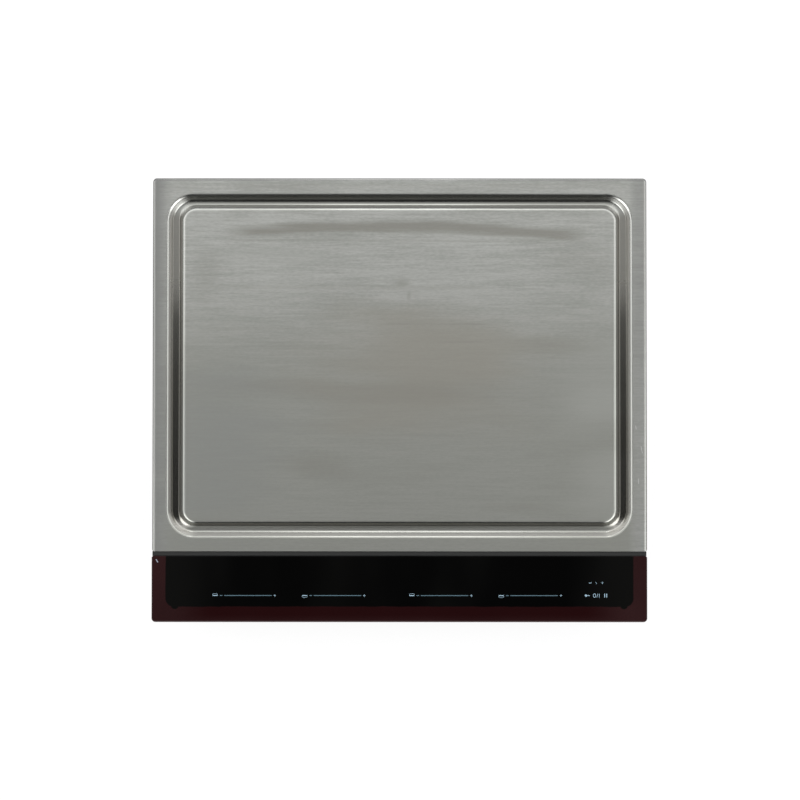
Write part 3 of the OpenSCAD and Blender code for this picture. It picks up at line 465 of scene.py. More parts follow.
# %% Brushed lines
griddle_steel, tree, shader = new_finish("griddle_steel", (0.60, 0.60, 0.57), 0.36, 1.0, Anisotropic=0.62)
x, y, z = axes_of(tree, place_of(tree))
fine_lines = grain(tree, (14, 1300, 1300), 2)
threads = grain(tree, (30, 420, 420), 4, (1, 0, 0))
hairs = grain(tree, (170, 700, 700), 3, (8, 1, 0))
coarse_lines = grain(tree, (9, 380, 380), 3, (3, 0, 0))
bands = grain(tree, (9, 120, 120), 3, (0, 9, 0))
clouds = grain(tree, (6, 26, 26), 3, (5, 2, 0))
weighted_lines = [
    (fine_lines, 0.03), (threads, 0.22), (hairs, 0.24), (coarse_lines, 0.09), (bands, 0.17), (clouds, 0.25),
]
shade = add(tree, *[times(tree, lines, weight) for lines, weight in weighted_lines])
depth = in_mm(tree, minus(tree, top_z, z))
in_groove = between(tree, depth, 0.04, 0.45)
shade = add(tree, shade, times(tree, minus(tree, 0.5, shade), in_groove, 0.75))
dark_line = (0.385, 0.392, 0.366)
light_line = (0.575, 0.583, 0.556)
steel = blend_colour(tree, between(tree, shade, 0.355, 0.645), dark_line, light_line)
layers = []
print("brushing:", len(weighted_lines), "grains")

# %% [markdown]
# ## Marks of use
# The griddle has been used for cooking. Food has left brown patches and a darker arc near the rear,
# and a scraper has left clean patches and long streaks. The front of the field is darker, which is
# painted shade for light that falls from the rear. Each mark is a place on the plate, so each is a
# distance on Object coordinates with a soft step at its end: an oval, a thin line along x or a bent
# band. Clouds of noise are added to the distance, which makes the outline ragged. The left rim is
# darker than the right one, where a few scratches catch the light.

# %% Shapes of the marks
def patch(middle, reach, strength):
    """A soft ragged oval: strength in its middle, 0 at its reach."""
    away = add(tree, oval(tree, x, y, middle, reach), swing(tree, clouds, 1.4))
    return between(tree, away, 0.1, 1.0, strength, 0)


def long_streak(streak_y, half, left, right, strength):
    """A thin line along x, slightly wavy, that fades over its last 30 mm."""
    wavy = add(tree, minus(tree, y, streak_y), swing(tree, clouds, 5 * mm))
    reach = (right - left) / 2
    ends = near(tree, x, (left + right) / 2, reach - 30 * mm, reach)
    return times(tree, near(tree, wavy, 0, half * 0.3, half), strength, ends)


def line_mark(tree, x, y, start, end, width, soft):
    """1 on a straight scratch from start to end, falling to 0 over soft metres."""
    run = Vector(end) - Vector(start)
    along_x, along_y = run.normalized()
    half = run.length / 2
    dx = minus(tree, x, start[0])
    dy = minus(tree, y, start[1])
    along = add(tree, times(tree, dx, along_x), times(tree, dy, along_y))
    across = minus(tree, times(tree, dy, along_x), times(tree, dx, along_y))
    on_line = near(tree, across, 0, width, width + soft)
    return times(tree, on_line, near(tree, along, half, half, half + soft))


print("shapes of marks ready")

# %% Painted shade on the front, streaks and patches
left_rim = between(tree, x, -290 * mm, -262 * mm, 1, 0)
right_rim = between(tree, x, 266 * mm, 280 * mm)
off_rims = minus(tree, 1.0, add(tree, left_rim, right_rim))
# The front of the field, off the rims and most at the sides, is darkened: painted shade for light that falls
# from the rear.
most_at_sides = between(tree, unsigned(tree, x), 0.12, 0.25, 0.62, 0.80)
front_painted_shade = times(tree, between(tree, y, 0.0, 0.17, 1, 0), off_rims, most_at_sides)

# middle, reach and strength of each patch
clean_patches = [
    ((0.235, 0.008), (0.085, 0.070), 0.42), ((0.250, -0.105), (0.070, 0.060), 0.36),
    ((-0.150, 0.168), (0.090, 0.022), 0.30),
]
# y, half width, left end, right end and strength of each streak
long_streaks = [
    (0.1875, 0.0020, -0.215, 0.190, 0.22), (0.1335, 0.0040, -0.250, 0.110, 0.22),
    (0.0890, 0.0020, -0.035, 0.120, 0.28), (0.0840, 0.0030, -0.250, -0.090, 0.18),
    (0.0675, 0.0018, 0.030, 0.110, 0.22), (0.0040, 0.0020, -0.110, 0.065, 0.25),
]
brown_patches = [
    ((0.003, 0.136), (0.022, 0.012), 0.60), ((0.011, 0.124), (0.005, 0.012), 0.40),
    ((-0.228, 0.140), (0.024, 0.055), 0.22), ((-0.150, 0.018), (0.045, 0.010), 0.26),
    ((-0.100, -0.078), (0.060, 0.022), 0.36), ((0.000, 0.010), (0.270, 0.022), 0.26),
    ((0.215, 0.165), (0.055, 0.020), 0.18), ((0.180, 0.062), (0.060, 0.012), 0.24),
    ((0.130, -0.125), (0.060, 0.008), 0.20),
]
arc_middle = Vector((-16.5, 203.5)) * mm
arc_bend = 0.2
sag = times(tree, squared(tree, minus(tree, x, arc_middle.x)), arc_bend)
from_arc = add(tree, y, sag, -arc_middle.y, swing(tree, bands, 12 * mm))
arc_ends = near(tree, x, 9 * mm, 175 * mm, 225 * mm)
arc = times(tree, near(tree, from_arc, 0, 2 * mm, 10 * mm), 0.80, arc_ends)

cleaned = highest(tree, *[patch(*row) for row in clean_patches])
browned = highest(tree, *[patch(*row) for row in brown_patches])
streaked = highest(tree, *[long_streak(*row) for row in long_streaks])
marks = highest(tree, arc, streaked, browned)
layers += [
    (front_painted_shade, (0.345, 0.350, 0.318)),
    (cleaned, (0.52, 0.53, 0.50)),
    (patch((0.035, 0.035), (0.190, 0.110), 0.65), (0.398, 0.381, 0.336)),
    (patch((-0.225, -0.070), (0.130, 0.150), 0.55), (0.355, 0.365, 0.352)),
    (marks, (0.315, 0.310, 0.278)),
]
print("marks of use:", len(layers), "layers")

# %% Rims and scratches
left_dark = times(tree, left_rim, between(tree, y, -0.10, 0.12, 0.72, 0.96))
right_dark = times(tree, right_rim, between(tree, y, -0.10, 0.12, 0.33, 0.53))
layers.append((add(tree, left_dark, right_dark), (0.290, 0.292, 0.284)))
bare_steel = (0.86, 0.86, 0.85)
scratches = [
    ((0.2832, -0.054), (0.2848, -0.062)),
    ((0.2800, -0.092), (0.2804, -0.098)),
    ((0.2770, -0.030), (0.2776, -0.034)),
]
for start, end in scratches:
    mark = line_mark(tree, x, y, start, end, 0.1 * mm, 0.4 * mm)
    layers.append((times(tree, mark, 0.7), bare_steel))
print("scratches:", len(scratches))

# %% [markdown]
# ## Groove and folded edge
# Old fat has browned the groove at the sides and the rear, and that darkening is also painted shade
# where the walls shade the groove. The foot at the sides and the inner wall in front are darkened,
# which is painted shade too. A dull pale film lies where the walls are steep: outside in front,
# inside at the rear and in the front corners. It is painted reflection, standing in for the light
# that the real walls reflect, and in the front corners a painted highlight. A steep wall of bare
# metal would mirror only what lies level with it, so the film is made by taking a share of the metal
# away. Places are measured in millimetres from the flat field's edges and down from the rim. The
# folded edge at the right and rear is darker, a painted shade.

# %% Browned and shaded groove, shaded folded edge
past_side = in_mm(tree, minus(tree, unsigned(tree, x), field_high.x))
past_front = in_mm(tree, minus(tree, field_low.y, y))
past_rear = in_mm(tree, minus(tree, y, field_high.y))
low_in_groove = between(tree, depth, 1.2, 3.0)
on_side = between(tree, past_side, -8, 2)
on_rear = between(tree, past_rear, 4.5, 6.5)
rear_corner = times(tree, on_side, between(tree, past_rear, -8, 2))
# Below the rim the groove is darkened at the sides and the rear: partly brown fat, partly painted shade
# where the walls shade the groove.
grease_and_painted_shade = times(tree, low_in_groove, minus(tree, 1.0, rear_corner))
# The foot of the groove at the sides is darkened: painted shade, because the opposite wall hides the bright
# light from it.
side_foot_painted_shade = times(tree, span(tree, depth, (5.2, 5.5), (5.90, 5.99)), between(tree, past_side, 13, 14))
side_foot_painted_shade = times(tree, side_foot_painted_shade, between(tree, y, -0.05, 0.15, 0.75, 0.0))
# The folded edge at the right and at the rear is darkened: a painted shade.
right_edge_shade = between(tree, x, edge_high.x - 1.2 * mm, edge_high.x - 0.8 * mm, 0, 0.6)
rear_edge_shade = between(tree, y, edge_high.y - 4.0 * mm, edge_high.y - 2.5 * mm, 0, 0.65)
layers += [
    (times(tree, grease_and_painted_shade, on_side, 0.5), (0.22, 0.20, 0.17)),
    (times(tree, grease_and_painted_shade, on_rear, 0.55), (0.20, 0.20, 0.18)),
    (side_foot_painted_shade, (0.10, 0.095, 0.080)),
    (highest(tree, right_edge_shade, rear_edge_shade), (0.12, 0.12, 0.12)),
]
print("groove browned")

# %% Pale film: painted reflection and highlight
# A pale dull film on the steep walls stands in for the light that the real walls reflect: painted
# reflection.
on_wall = span(tree, depth, (0.7, 1.6), (4.4, 5.5))
side_film = times(tree, between(tree, past_side, 10, 14, 0.12, 0.21), on_side)
front_film = between(tree, past_front, 10, 13, 0, 0.36)
rear_film = times(tree, span(tree, past_rear, (0, 1), (7, 9)), 0.20)
wall_painted_reflection = times(tree, highest(tree, side_film, front_film, rear_film), on_wall)
# In the front corners the film is a painted highlight, put where the real groove shows a white glare.
corner_painted_highlight = times(tree, between(tree, past_side, -7, 3, 0, 0.30), between(tree, past_front, -5, 5))
film_painted_reflection = highest(tree, wall_painted_reflection, times(tree, corner_painted_highlight, low_in_groove))
# The inner wall of the groove in front is darkened: a painted shade.
front_inner_painted_shade = times(tree, span(tree, past_front, (-0.4, 0.6), (7.0, 8.5)), on_wall)
front_inner_painted_shade = times(tree, front_inner_painted_shade, between(tree, past_side, -14, -6, 0.85, 0))
layers += [(times(tree, film_painted_reflection, 2.0), (0.52, 0.51, 0.48)), (front_inner_painted_shade, (0.15, 0.148, 0.135))]
for factor, colour in layers:
    steel = blend_colour(tree, factor, steel, colour)
drive(tree, shader, Base_Color=steel, Metallic=minus(tree, 1.0, film_painted_reflection))
print("griddle steel:", len(layers), "layers")

# %% [markdown]
# ## Gloss of the griddle
# The gloss of brushed metal spreads across the lines, so the shader is anisotropic, and its
# direction comes from a UV map whose u runs across them. The pressed groove is glossier than the
# field, apart from the floor in front and the rear ends of the sides, where fat has dulled it.

# %% Gloss and relief
gloss = minus(tree, between(tree, shade, 0.3, 0.7, 0.46, 0.40), times(tree, in_groove, 0.27))
front_floor = span(tree, past_front, (5.0, 6.5), (10.5, 12.5))
rear_side = times(tree, on_side, between(tree, y, 0.09, 0.15), 0.6)
dulled = times(tree, low_in_groove, highest(tree, front_floor, rear_side), 0.20)
tangent = add_node(tree, "ShaderNodeTangent", direction_type="UV_MAP", uv_map="brushing").outputs[0]
drive(tree, shader, Roughness=add(tree, gloss, dulled), Tangent=tangent)
brushed = minus(tree, 1.0, times(tree, in_groove, 0.9))
relief(tree, shader, times(tree, add(tree, fine_lines, coarse_lines), brushed), 0.012 * mm, 0.4)
griddle_sheet.data.materials.append(griddle_steel)
print("griddle steel:", len(tree.nodes), "nodes")

# %% [markdown]
# ## Glass panel
# The real panel is dark red glass ceramic. Over the steel flange it shows a deep maroon, and over
# the opening it is backed with black print, so the middle looks black. Both could be seen through
# a clear glass shader, but dark glass swallows nearly all the light that enters, so an opaque
# shader with the two colours looks the same and stays clean in every viewer. The edge between
# them is a rounded rectangle inside the collar, slightly ragged, as a print's edge is, and at its
# front corners the print has run a little. The ground chamfer is lighter and dull.

# %% Black print
glass_low, glass_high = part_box("control_glass")
collar_low, collar_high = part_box("glass_mask")
panel_glass, tree, shader = new_finish("panel_glass", (0.003, 0.003, 0.003), 0.04, IOR=1.5)
x, y, z = axes_of(tree, place_of(tree))
aside = unsigned(tree, x)
behind_front = in_mm(tree, minus(tree, y, glass_low.y))
below_top = in_mm(tree, minus(tree, glass_high.z, z))
print_r = 9 * mm
past_x = highest(tree, minus(tree, aside, collar_high.x - print_r), 0.0)
past_y = highest(tree, minus(tree, collar_low.y + print_r - 2.5 * mm, y), 0.0)
past_print = add(tree, length_of(tree, past_x, past_y), swing(tree, even_grain(tree, 60), 1.6 * mm))
past_run = oval(tree, aside, y, (263 * mm, -241.5 * mm), (4.5 * mm, 3.5 * mm))
outside = between(tree, past_print, print_r - 0.2 * mm, print_r + 0.8 * mm)
outside = times(tree, outside, between(tree, past_run, 0.85, 1.0))
smudge = between(tree, grain(tree, (9, 5, 5), 2, (2, 0, 0)), 0.45, 0.75)
black = blend_colour(tree, smudge, (0.0004, 0.0004, 0.0004), (0.0015, 0.0015, 0.0014))
black = blend_colour(tree, between(tree, aside, 0.19, 0.27, 0, 0.3), black, (0.0070, 0.0070, 0.0065))
print("black print ready")

# %% Maroon glass and ground edge
maroon = blend_colour(tree, even_grain(tree, 14), (0.0100, 0.0034, 0.0037), (0.0190, 0.0074, 0.0077))
deeper = between(tree, behind_front, 17, 22, 0.85, 0)
deeper = times(tree, deeper, between(tree, behind_front, 0, 10, 0.50, 1.0))
deeper = times(tree, deeper, between(tree, aside, 0.215, 0.272, 1, 0))
maroon = blend_colour(tree, deeper, maroon, (0.0075, 0.0008, 0.0010))
body = blend_colour(tree, outside, black, maroon)
# The front 2 mm of the glass is lighter: a painted highlight along its front edge.
body = blend_colour(tree, between(tree, behind_front, 0.9, 2.0, 0.6, 0), body, (0.060, 0.040, 0.040))
ground = span(tree, below_top, (0.03, 0.55), (0.7, 0.9))
ground = times(tree, ground, between(tree, y, glass_high.y - 2 * mm, glass_high.y - 1 * mm, 1, 0))
body = blend_colour(tree, times(tree, ground, 0.85), body, (0.120, 0.100, 0.098))
# A short pale grey-blue stroke lies on the glass near its front left corner.
pale_stroke = line_mark(tree, x, y, (-0.2850, -0.1868), (-0.2830, -0.1900), 0.3 * mm, 0.5 * mm)
body = blend_colour(tree, pale_stroke, body, (0.20, 0.22, 0.26))
worn = between(tree, even_grain(tree, 30, 3), 0.35, 0.75, 0.03, 0.08)
drive(tree, shader, Base_Color=body, Roughness=add(tree, worn, times(tree, ground, 0.4)))
print("panel glass:", len(tree.nodes), "nodes")

# %% [markdown]
# ## Plain finishes
# Moulded plastic, rubber, anodised metal and paper-like sheets differ in colour, gloss and grain,
# but are made the same way: a fine grain shades the colour and raises the surface, and a broad
# one lets the gloss wander as handling and age do. One recipe with a row of numbers for each
# material keeps them alike where they should be and shows at a glance where they differ.

# %% Grained finish
finishes = {"griddle_steel": griddle_steel, "panel_glass": panel_glass}


def grained(name, colour, roughness, metallic, per_metre, contrast=0.12, wander=0.06, depth=0.02):
    """A plain finish: per_metre is its grain, and depth the height of its relief in millimetres."""
    finish, tree, shader = new_finish(name, colour, roughness, metallic)
    fine = grain(tree, per_metre, 3) if isinstance(per_metre, tuple) else even_grain(tree, per_metre, 3)
    broad = even_grain(tree, 14)
    shade = add(tree, times(tree, fine, 0.6), times(tree, broad, 0.4))
    shade = between(tree, shade, 0.3, 0.7)
    shaded = blend_colour(tree, shade, darker(colour, contrast), lighter(colour, contrast))
    gloss = between(tree, broad, 0.3, 0.7, roughness - wander, roughness + wander)
    drive(tree, shader, Base_Color=shaded, Roughness=gloss)
    relief(tree, shader, fine, depth * mm, 0.6)
    finishes[name] = finish


# name, colour, roughness, metallic, grains per metre, contrast, wander of the gloss, relief in mm
grained("trim_anodised", (0.006, 0.0064, 0.006), 0.60, 0.15, (12, 2200, 2200), 0.16, 0.05, 0.01)
grained("back_print", (0.010, 0.010, 0.010), 0.42, 0, 700, 0.2)
grained("silicone", (0.020, 0.020, 0.021), 0.38, 0, 160, 0.2, 0.08, 0.08)
grained("gasket_foam", (0.030, 0.030, 0.031), 0.85, 0, 2400, 0.35, 0.05, 0.1)
grained("clamp_steel", (0.60, 0.61, 0.62), 0.30, 1, (1500, 60, 60), 0.10, 0.07)
grained("zinc_screw", (0.62, 0.62, 0.60), 0.28, 1, 700, 0.10, 0.08)
grained("black_screw", (0.035, 0.035, 0.038), 0.42, 0.8, 1200, 0.25, 0.08)
grained("carrier_plastic", (0.030, 0.030, 0.033), 0.55, 0, 1600, 0.2, 0.06)
grained("ferrite", (0.045, 0.045, 0.048), 0.62, 0, 1900, 0.3, 0.06, 0.04)
grained("sensor_ceramic", (0.72, 0.72, 0.68), 0.60, 0, 1200, 0.06)
grained("spring_steel", (0.50, 0.50, 0.51), 0.26, 1, (2500, 2500, 600), 0.12)
grained("aluminium", (0.70, 0.71, 0.72), 0.36, 1, (22, 1300, 1300), 0.08, 0.06)
grained("lead_black", (0.028, 0.028, 0.030), 0.45, 0, 500, 0.2)
grained("chip_resin", (0.018, 0.018, 0.019), 0.48, 0, 2600, 0.35, 0.05)
grained("capacitor_red", (0.36, 0.040, 0.030), 0.30, 0, 500, 0.10, 0.06)
grained("relay_blue", (0.018, 0.045, 0.150), 0.30, 0, 500, 0.10, 0.06)
grained("fan_black", (0.016, 0.016, 0.017), 0.40, 0, 1300, 0.2, 0.07)
grained("guide_plastic", (0.050, 0.050, 0.053), 0.58, 0, 1600, 0.18, 0.05)
grained("touch_foam", (0.52, 0.46, 0.32), 0.90, 0, 3000, 0.22, 0.04, 0.1)
grained("terminal_black", (0.020, 0.020, 0.021), 0.50, 0, 2400, 0.25, 0.06, 0.04)
grained("terminal_beige", (0.60, 0.56, 0.44), 0.45, 0, 700, 0.06, 0.05)
print("plain finishes:", len(finishes) - 2)

# %% [markdown]
# ## Galvanised sheet
# The frame and the tray are steel sheet with a zinc coat. Zinc freezes into flat crystals, each
# with its own shade and gloss. A Voronoi texture is made of just such cells, and has random values
# for each, which shade the metal and its roughness a little. Noise added to the place makes the
# cells' borders wander.

# %% Zinc-coated sheets
def zinc_sheet(name, colour, per_metre, contrast):
    finish, tree, shader = new_finish(name, colour, 0.4, 1.0)
    wobble = even_grain(tree, 120)
    shift = {0: times(tree, wobble, 6 * mm), 1: times(tree, wobble, -5 * mm)}
    shift = add_node(tree, "ShaderNodeCombineXYZ", shift).outputs[0]
    moved = add_node(tree, "ShaderNodeVectorMath", {0: place_of(tree), 1: shift}, operation="ADD").outputs[0]
    flake = cells(tree, moved, per_metre)[1]
    streaks = grain(tree, (30, 600, 600), 2)
    shade = add(tree, times(tree, flake[0], 0.65), times(tree, streaks, 0.35))
    shaded = blend_colour(tree, shade, darker(colour, contrast), lighter(colour, contrast))
    drive(tree, shader, Base_Color=shaded, Roughness=between(tree, flake[1], 0, 1, 0.34, 0.50))
    relief(tree, shader, shade, 0.01 * mm, 0.5)
    finishes[name] = finish


zinc_sheet("frame_steel", (0.50, 0.51, 0.52), 160, 0.08)
zinc_sheet("tray_steel", (0.56, 0.57, 0.58), 90, 0.12)
print("zinc sheets: 2")

# %% [markdown]
# ## Mat, mica and sleeves
# The mat between plate and coils is pressed ceramic fibre: soft, white and hairy. Two layers of
# noise stretched in different directions cross like fibres. Mica is split stone: flat flakes of
# amber with a soft sheen, again Voronoi cells. The coil leads run in woven glass sleeve, which is
# the same crossed noise, only finer.

# %% Fibre mat
def fibre_sheet(name, colour, roughness, across, depth):
    finish, tree, shader = new_finish(name, colour, roughness, Sheen_Weight=0.2)
    first = grain(tree, (across, across / 9, across / 3), 3)
    second = grain(tree, (across / 8, across, across / 3), 3, (4, 4, 4))
    lumps = even_grain(tree, 40)
    fibres = highest(tree, first, second)
    dark = darker(colour, 0.22)
    colours = blend_colour(tree, between(tree, fibres, 0.45, 0.75), dark, colour)
    colours = blend_colour(tree, between(tree, lumps, 0.5, 0.8, 0, 0.3), colours, dark)
    drive(tree, shader, Base_Color=colours)
    relief(tree, shader, fibres, depth * mm, 0.8)
    finishes[name] = finish


fibre_sheet("fibre_mat", (0.80, 0.79, 0.74), 0.92, 900, 0.2)
fibre_sheet("lead_sleeve", (0.70, 0.67, 0.58), 0.80, 2600, 0.08)
print("fibre finishes: 2")

# %% Mica
mica, tree, shader = new_finish("mica", (0.50, 0.42, 0.26), 0.35)
flake = cells(tree, place_of(tree), 110, distance="CHEBYCHEV")[1]
colours = blend_colour(tree, flake[0], (0.40, 0.33, 0.20), (0.62, 0.55, 0.38))
drive(tree, shader, Base_Color=colours, Roughness=between(tree, flake[1], 0, 1, 0.24, 0.46))
relief(tree, shader, flake[2], 0.03 * mm, 0.5)
finishes["mica"] = mica
print("mica:", len(tree.nodes), "nodes")

# %% [markdown]
# ## Copper and circuit boards
# The windings are many thin wires laid as a flat spiral. The CAD rings already show the turns as
# ridges, and the finish adds the strands as fine noise, darkened in the gaps, and stains of heat.
# A circuit board shows green resist over copper tracks, which stand up a little, and small tinned
# pads. Tracks run along x and y in steps, which a Voronoi pattern with square cells resembles. In
# the ribbon the wires lie side by side, so it is one sine wave across its width.

# %% Copper
copper, tree, shader = new_finish("copper_litz", (0.60, 0.27, 0.12), 0.36, 1.0)
strands = even_grain(tree, 1900, 3)
heat = even_grain(tree, 35)
colours = blend_colour(tree, between(tree, strands, 0.35, 0.65), (0.32, 0.125, 0.05), (0.66, 0.31, 0.14))
colours = blend_colour(tree, between(tree, heat, 0.5, 0.8, 0, 0.35), colours, (0.38, 0.15, 0.10))
drive(tree, shader, Base_Color=colours, Roughness=between(tree, strands, 0.3, 0.7, 0.46, 0.30))
relief(tree, shader, strands, 0.1 * mm, 0.8)
finishes["copper_litz"] = copper
print("copper:", len(tree.nodes), "nodes")

# %% Circuit board
board, tree, shader = new_finish("circuit_board", (0.02, 0.12, 0.05), 0.30)
from_square, chosen = cells(tree, place_of(tree), 170, distance="CHEBYCHEV")
track = times(tree, between(tree, from_square, 0.40, 0.47), between(tree, chosen[0], 0.35, 0.40))
from_pad, chosen = cells(tree, place_of(tree), 210)
pad = times(tree, between(tree, from_pad, 0.13, 0.16, 1, 0), between(tree, chosen[0], 0.78, 0.80))
colours = blend_colour(tree, track, (0.010, 0.085, 0.034), (0.022, 0.150, 0.062))
colours = blend_colour(tree, pad, colours, (0.62, 0.60, 0.56))
drive(tree, shader, Base_Color=colours, Roughness=between(tree, even_grain(tree, 90), 0.3, 0.7, 0.22, 0.36))
relief(tree, shader, add(tree, track, pad), 0.04 * mm, 0.7)
finishes["circuit_board"] = board
print("circuit board:", len(tree.nodes), "nodes")

# %% Ribbon cable
ribbon, tree, shader = new_finish("ribbon_grey", (0.42, 0.43, 0.44), 0.45)
wire_pitch = 1.27 * mm
wave = calc(tree, "SINE", times(tree, axes_of(tree, place_of(tree))[0], 2 * math.pi / wire_pitch))
colours = blend_colour(tree, between(tree, wave, -0.9, -0.3), (0.22, 0.23, 0.24), (0.48, 0.49, 0.50))
handled = between(tree, even_grain(tree, 200), 0.4, 0.8, 0, 0.2)
drive(tree, shader, Base_Color=blend_colour(tree, handled, colours, (0.36, 0.37, 0.38)))
relief(tree, shader, wave, 0.2 * mm, 0.6)
finishes["ribbon_grey"] = ribbon
print("ribbon:", len(tree.nodes), "nodes; finishes in all:", len(finishes))

# %% [markdown]
# ## Dress the CAD nodes
# The record names a material slot for every node, and each finish above carries the name of its
# slot. So one loop dresses the whole cooktop, and a node without a finish stops the script.

# %% Assign the finishes
for part in frame["record"]["subparts"]:
    node = frame["nodes"][part["node"]]
    finish = finishes[part["material_slot"]]
    if not node.material_slots:
        node.data.materials.append(finish)
    for material_slot in node.material_slots:
        material_slot.material = finish

# %% [markdown]
# ## Key symbols
# Four sliders and a group of keys are printed on the glass: for each slider a small picture of
# the plate with its heated half filled, a minus, a bar and a plus; on the right the timer's hand
# between minus and plus, and in front of it the lock key, the power sign and the pause sign.
# Print could be drawn in the glass finish, but shapes this fine stay sharper as thin pieces. Each
# is a film 0.05 mm thick: strokes are cubes pressed flat with rounded corners, and the ring of the
# power sign is a circle whose middle is inset and taken out. Places on the glass are in
# millimetres here, and the film itself turns them into metres.

# %% Symbol strokes
print_t = 0.05 * mm
print_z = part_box("control_glass")[1].z + 0.01 * mm
slider_y = -228.9
timer_y = -214.1


def stroke(bm, low, high, round_r=0.15, turn=0.0):
    """A flat stroke between two corners in millimetres, with rounded ends, turned about its middle."""
    low = Vector(low) * mm
    high = Vector(high) * mm
    bar = bmesh.ops.create_cube(bm, size=1.0)["verts"]
    bmesh.ops.scale(bm, verts=bar, vec=(*(high - low), print_t))
    sides = {edge for vertex in bar for edge in vertex.link_edges}
    upright = [edge for edge in sides if abs(edge.verts[0].co.z - edge.verts[1].co.z) > print_t / 2]
    rounding = {"offset": round_r * mm, "offset_type": "OFFSET", "segments": 3, "profile": 0.5}
    rounded = bmesh.ops.bevel(bm, geom=upright, affect="EDGES", material=-1, **rounding)["verts"]
    whole = list({vertex for vertex in bar if vertex.is_valid} | set(rounded))
    middle = (*((low + high) / 2), print_z + print_t / 2)
    bmesh.ops.rotate(bm, verts=whole, cent=(0, 0, 0), matrix=Matrix.Rotation(turn, 3, "Z"))
    bmesh.ops.translate(bm, verts=whole, vec=middle)


def plus(bm, x, y, reach, thick):
    stroke(bm, (x - reach, y - thick / 2), (x + reach, y + thick / 2))
    stroke(bm, (x - thick / 2, y - reach), (x + thick / 2, y + reach))


def disc_ring(bm, x, y, half_w, half_h, thick=None):
    """A flat disc, or a ring where a stroke width is given."""
    circle = bmesh.ops.create_circle(bm, segments=28, radius=1.0, cap_ends=True)["verts"]
    bmesh.ops.scale(bm, verts=circle, vec=(half_w * mm, half_h * mm, 1.0))
    faces = list({face for vertex in circle for face in vertex.link_faces})
    if thick:
        inset = {"thickness": thick * mm, "use_boundary": True, "use_even_offset": True}
        bmesh.ops.inset_region(bm, faces=faces, **inset)
        bmesh.ops.delete(bm, geom=faces, context="FACES_ONLY")
        faces = list({face for vertex in circle for face in vertex.link_faces})
    raised = bmesh.ops.extrude_face_region(bm, geom=faces)["geom"]
    top = {part for part in raised if isinstance(part, bmesh.types.BMVert)}
    bmesh.ops.translate(bm, verts=list(top), vec=(0, 0, print_t))
    whole = top | set(circle) | {vertex for face in faces for vertex in face.verts}
    bmesh.ops.translate(bm, verts=list(whole), vec=(x * mm, y * mm, print_z))


def print_marks(name, bm, finish):
    bmesh.ops.recalc_face_normals(bm, faces=bm.faces)
    marks = finish_object(bm, name, smooth=False)
    marks.data.materials.append(finish)
    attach(marks, "housing")
    print(name + ":", len(marks.data.polygons), "faces")


print("strokes", print_t / mm, "mm thick")

# %% Print colours
def print_colour(name, colour):
    finish, tree, shader = new_finish(name, colour, 0.35)
    worn = between(tree, even_grain(tree, 2500), 0.3, 0.6)
    drive(tree, shader, Base_Color=blend_colour(tree, worn, darker(colour, 0.28), colour))
    return finish


slider_print = print_colour("slider_print", (0.062, 0.107, 0.134))
symbol_print = print_colour("symbol_print", (0.23, 0.33, 0.40))
print("print colours: 2")

# %% Sliders
slider_xs = (-219.1, -114.3, 11.1, 115.9)
picture_left, picture_right = 0.4, 6.4
minus_ends = (8.9, 11.9)
bar_ends = (14.0, 69.6)
plus_x = 73.2
bar_half = 0.42
filled_t = 0.95
outline_t = 0.4
far_line_t = 0.3
slider_lines = bmesh.new()
slider_symbols = bmesh.new()
for number, x0 in enumerate(slider_xs):
    y = slider_y
    filled_front = number % 2 == 0
    low_y, high_y = (y - 0.45, y + 2.45) if filled_front else (y - 2.5, y + 0.45)
    filled_y, far_y = (low_y, high_y - far_line_t) if filled_front else (high_y - filled_t, low_y)
    left, right = x0 + picture_left, x0 + picture_right
    stroke(slider_symbols, (left, filled_y), (right, filled_y + filled_t), 0.3)
    stroke(slider_symbols, (left + 0.8, far_y), (right - 0.8, far_y + far_line_t))
    for side_x in (left, right - outline_t):
        stroke(slider_symbols, (side_x, low_y + 0.5), (side_x + outline_t, high_y - 0.5))
    for start, end in (minus_ends, bar_ends):
        stroke(slider_lines, (x0 + start, y - bar_half), (x0 + end, y + bar_half))
    plus(slider_symbols, x0 + plus_x, y, 1.25, 0.6)
print_marks("slider_bars", slider_lines, slider_print)
print_marks("slider_symbols", slider_symbols, symbol_print)

# %% Key group
keys = bmesh.new()
y = slider_y
# lock key: bow and shaft
disc_ring(keys, 218.4, y + 0.1, 1.3, 1.3)
stroke(keys, (219.6, y - 0.3), (222.9, y + 0.5))
# power sign: ring, slanting stroke and upright stroke
disc_ring(keys, 228.4, y + 0.1, 1.7, 2.4, 0.6)
stroke(keys, (231.5, y - 2.2), (232.0, y + 2.4), turn=math.radians(-18))
stroke(keys, (233.8, y - 2.2), (234.3, y + 2.4))
# pause sign
for pause_x in (239.9, 242.3):
    stroke(keys, (pause_x, y - 2.1), (pause_x + 0.9, y + 2.3))
# timer: minus, hand and plus
y = timer_y
stroke(keys, (221.8, y - 0.3), (225.1, y + 0.3))
stroke(keys, (230.1, y - 1.1), (230.6, y + 1.2), turn=math.radians(20))
plus(keys, 237.7, y + 0.1, 1.2, 0.6)
print_marks("key_symbols", keys, symbol_print)

# %% [markdown]
# ## Floor and light
# The floor is a wide pale sheet under the cooktop. It takes the cooktop's soft shadow, but most of
# what the camera and reflections see of it is its own even white, so the background stays white
# without strong lamps. From below it is clear, so that the tray can be looked at too. The camera
# sees the sky as the same white. Reflections see a studio in it: bright walls at half height, a
# light box behind the table and one at each front corner, a dark ceiling and a narrow dark gap in
# front. Polished shoulders lean to the sides and catch the walls and boxes, while flat glass looks
# straight up and stays black. A direction has a height, 0 at the horizon and 1 overhead, and a
# turn, 0 straight ahead and growing to both sides, and the studio is drawn with steps on these.

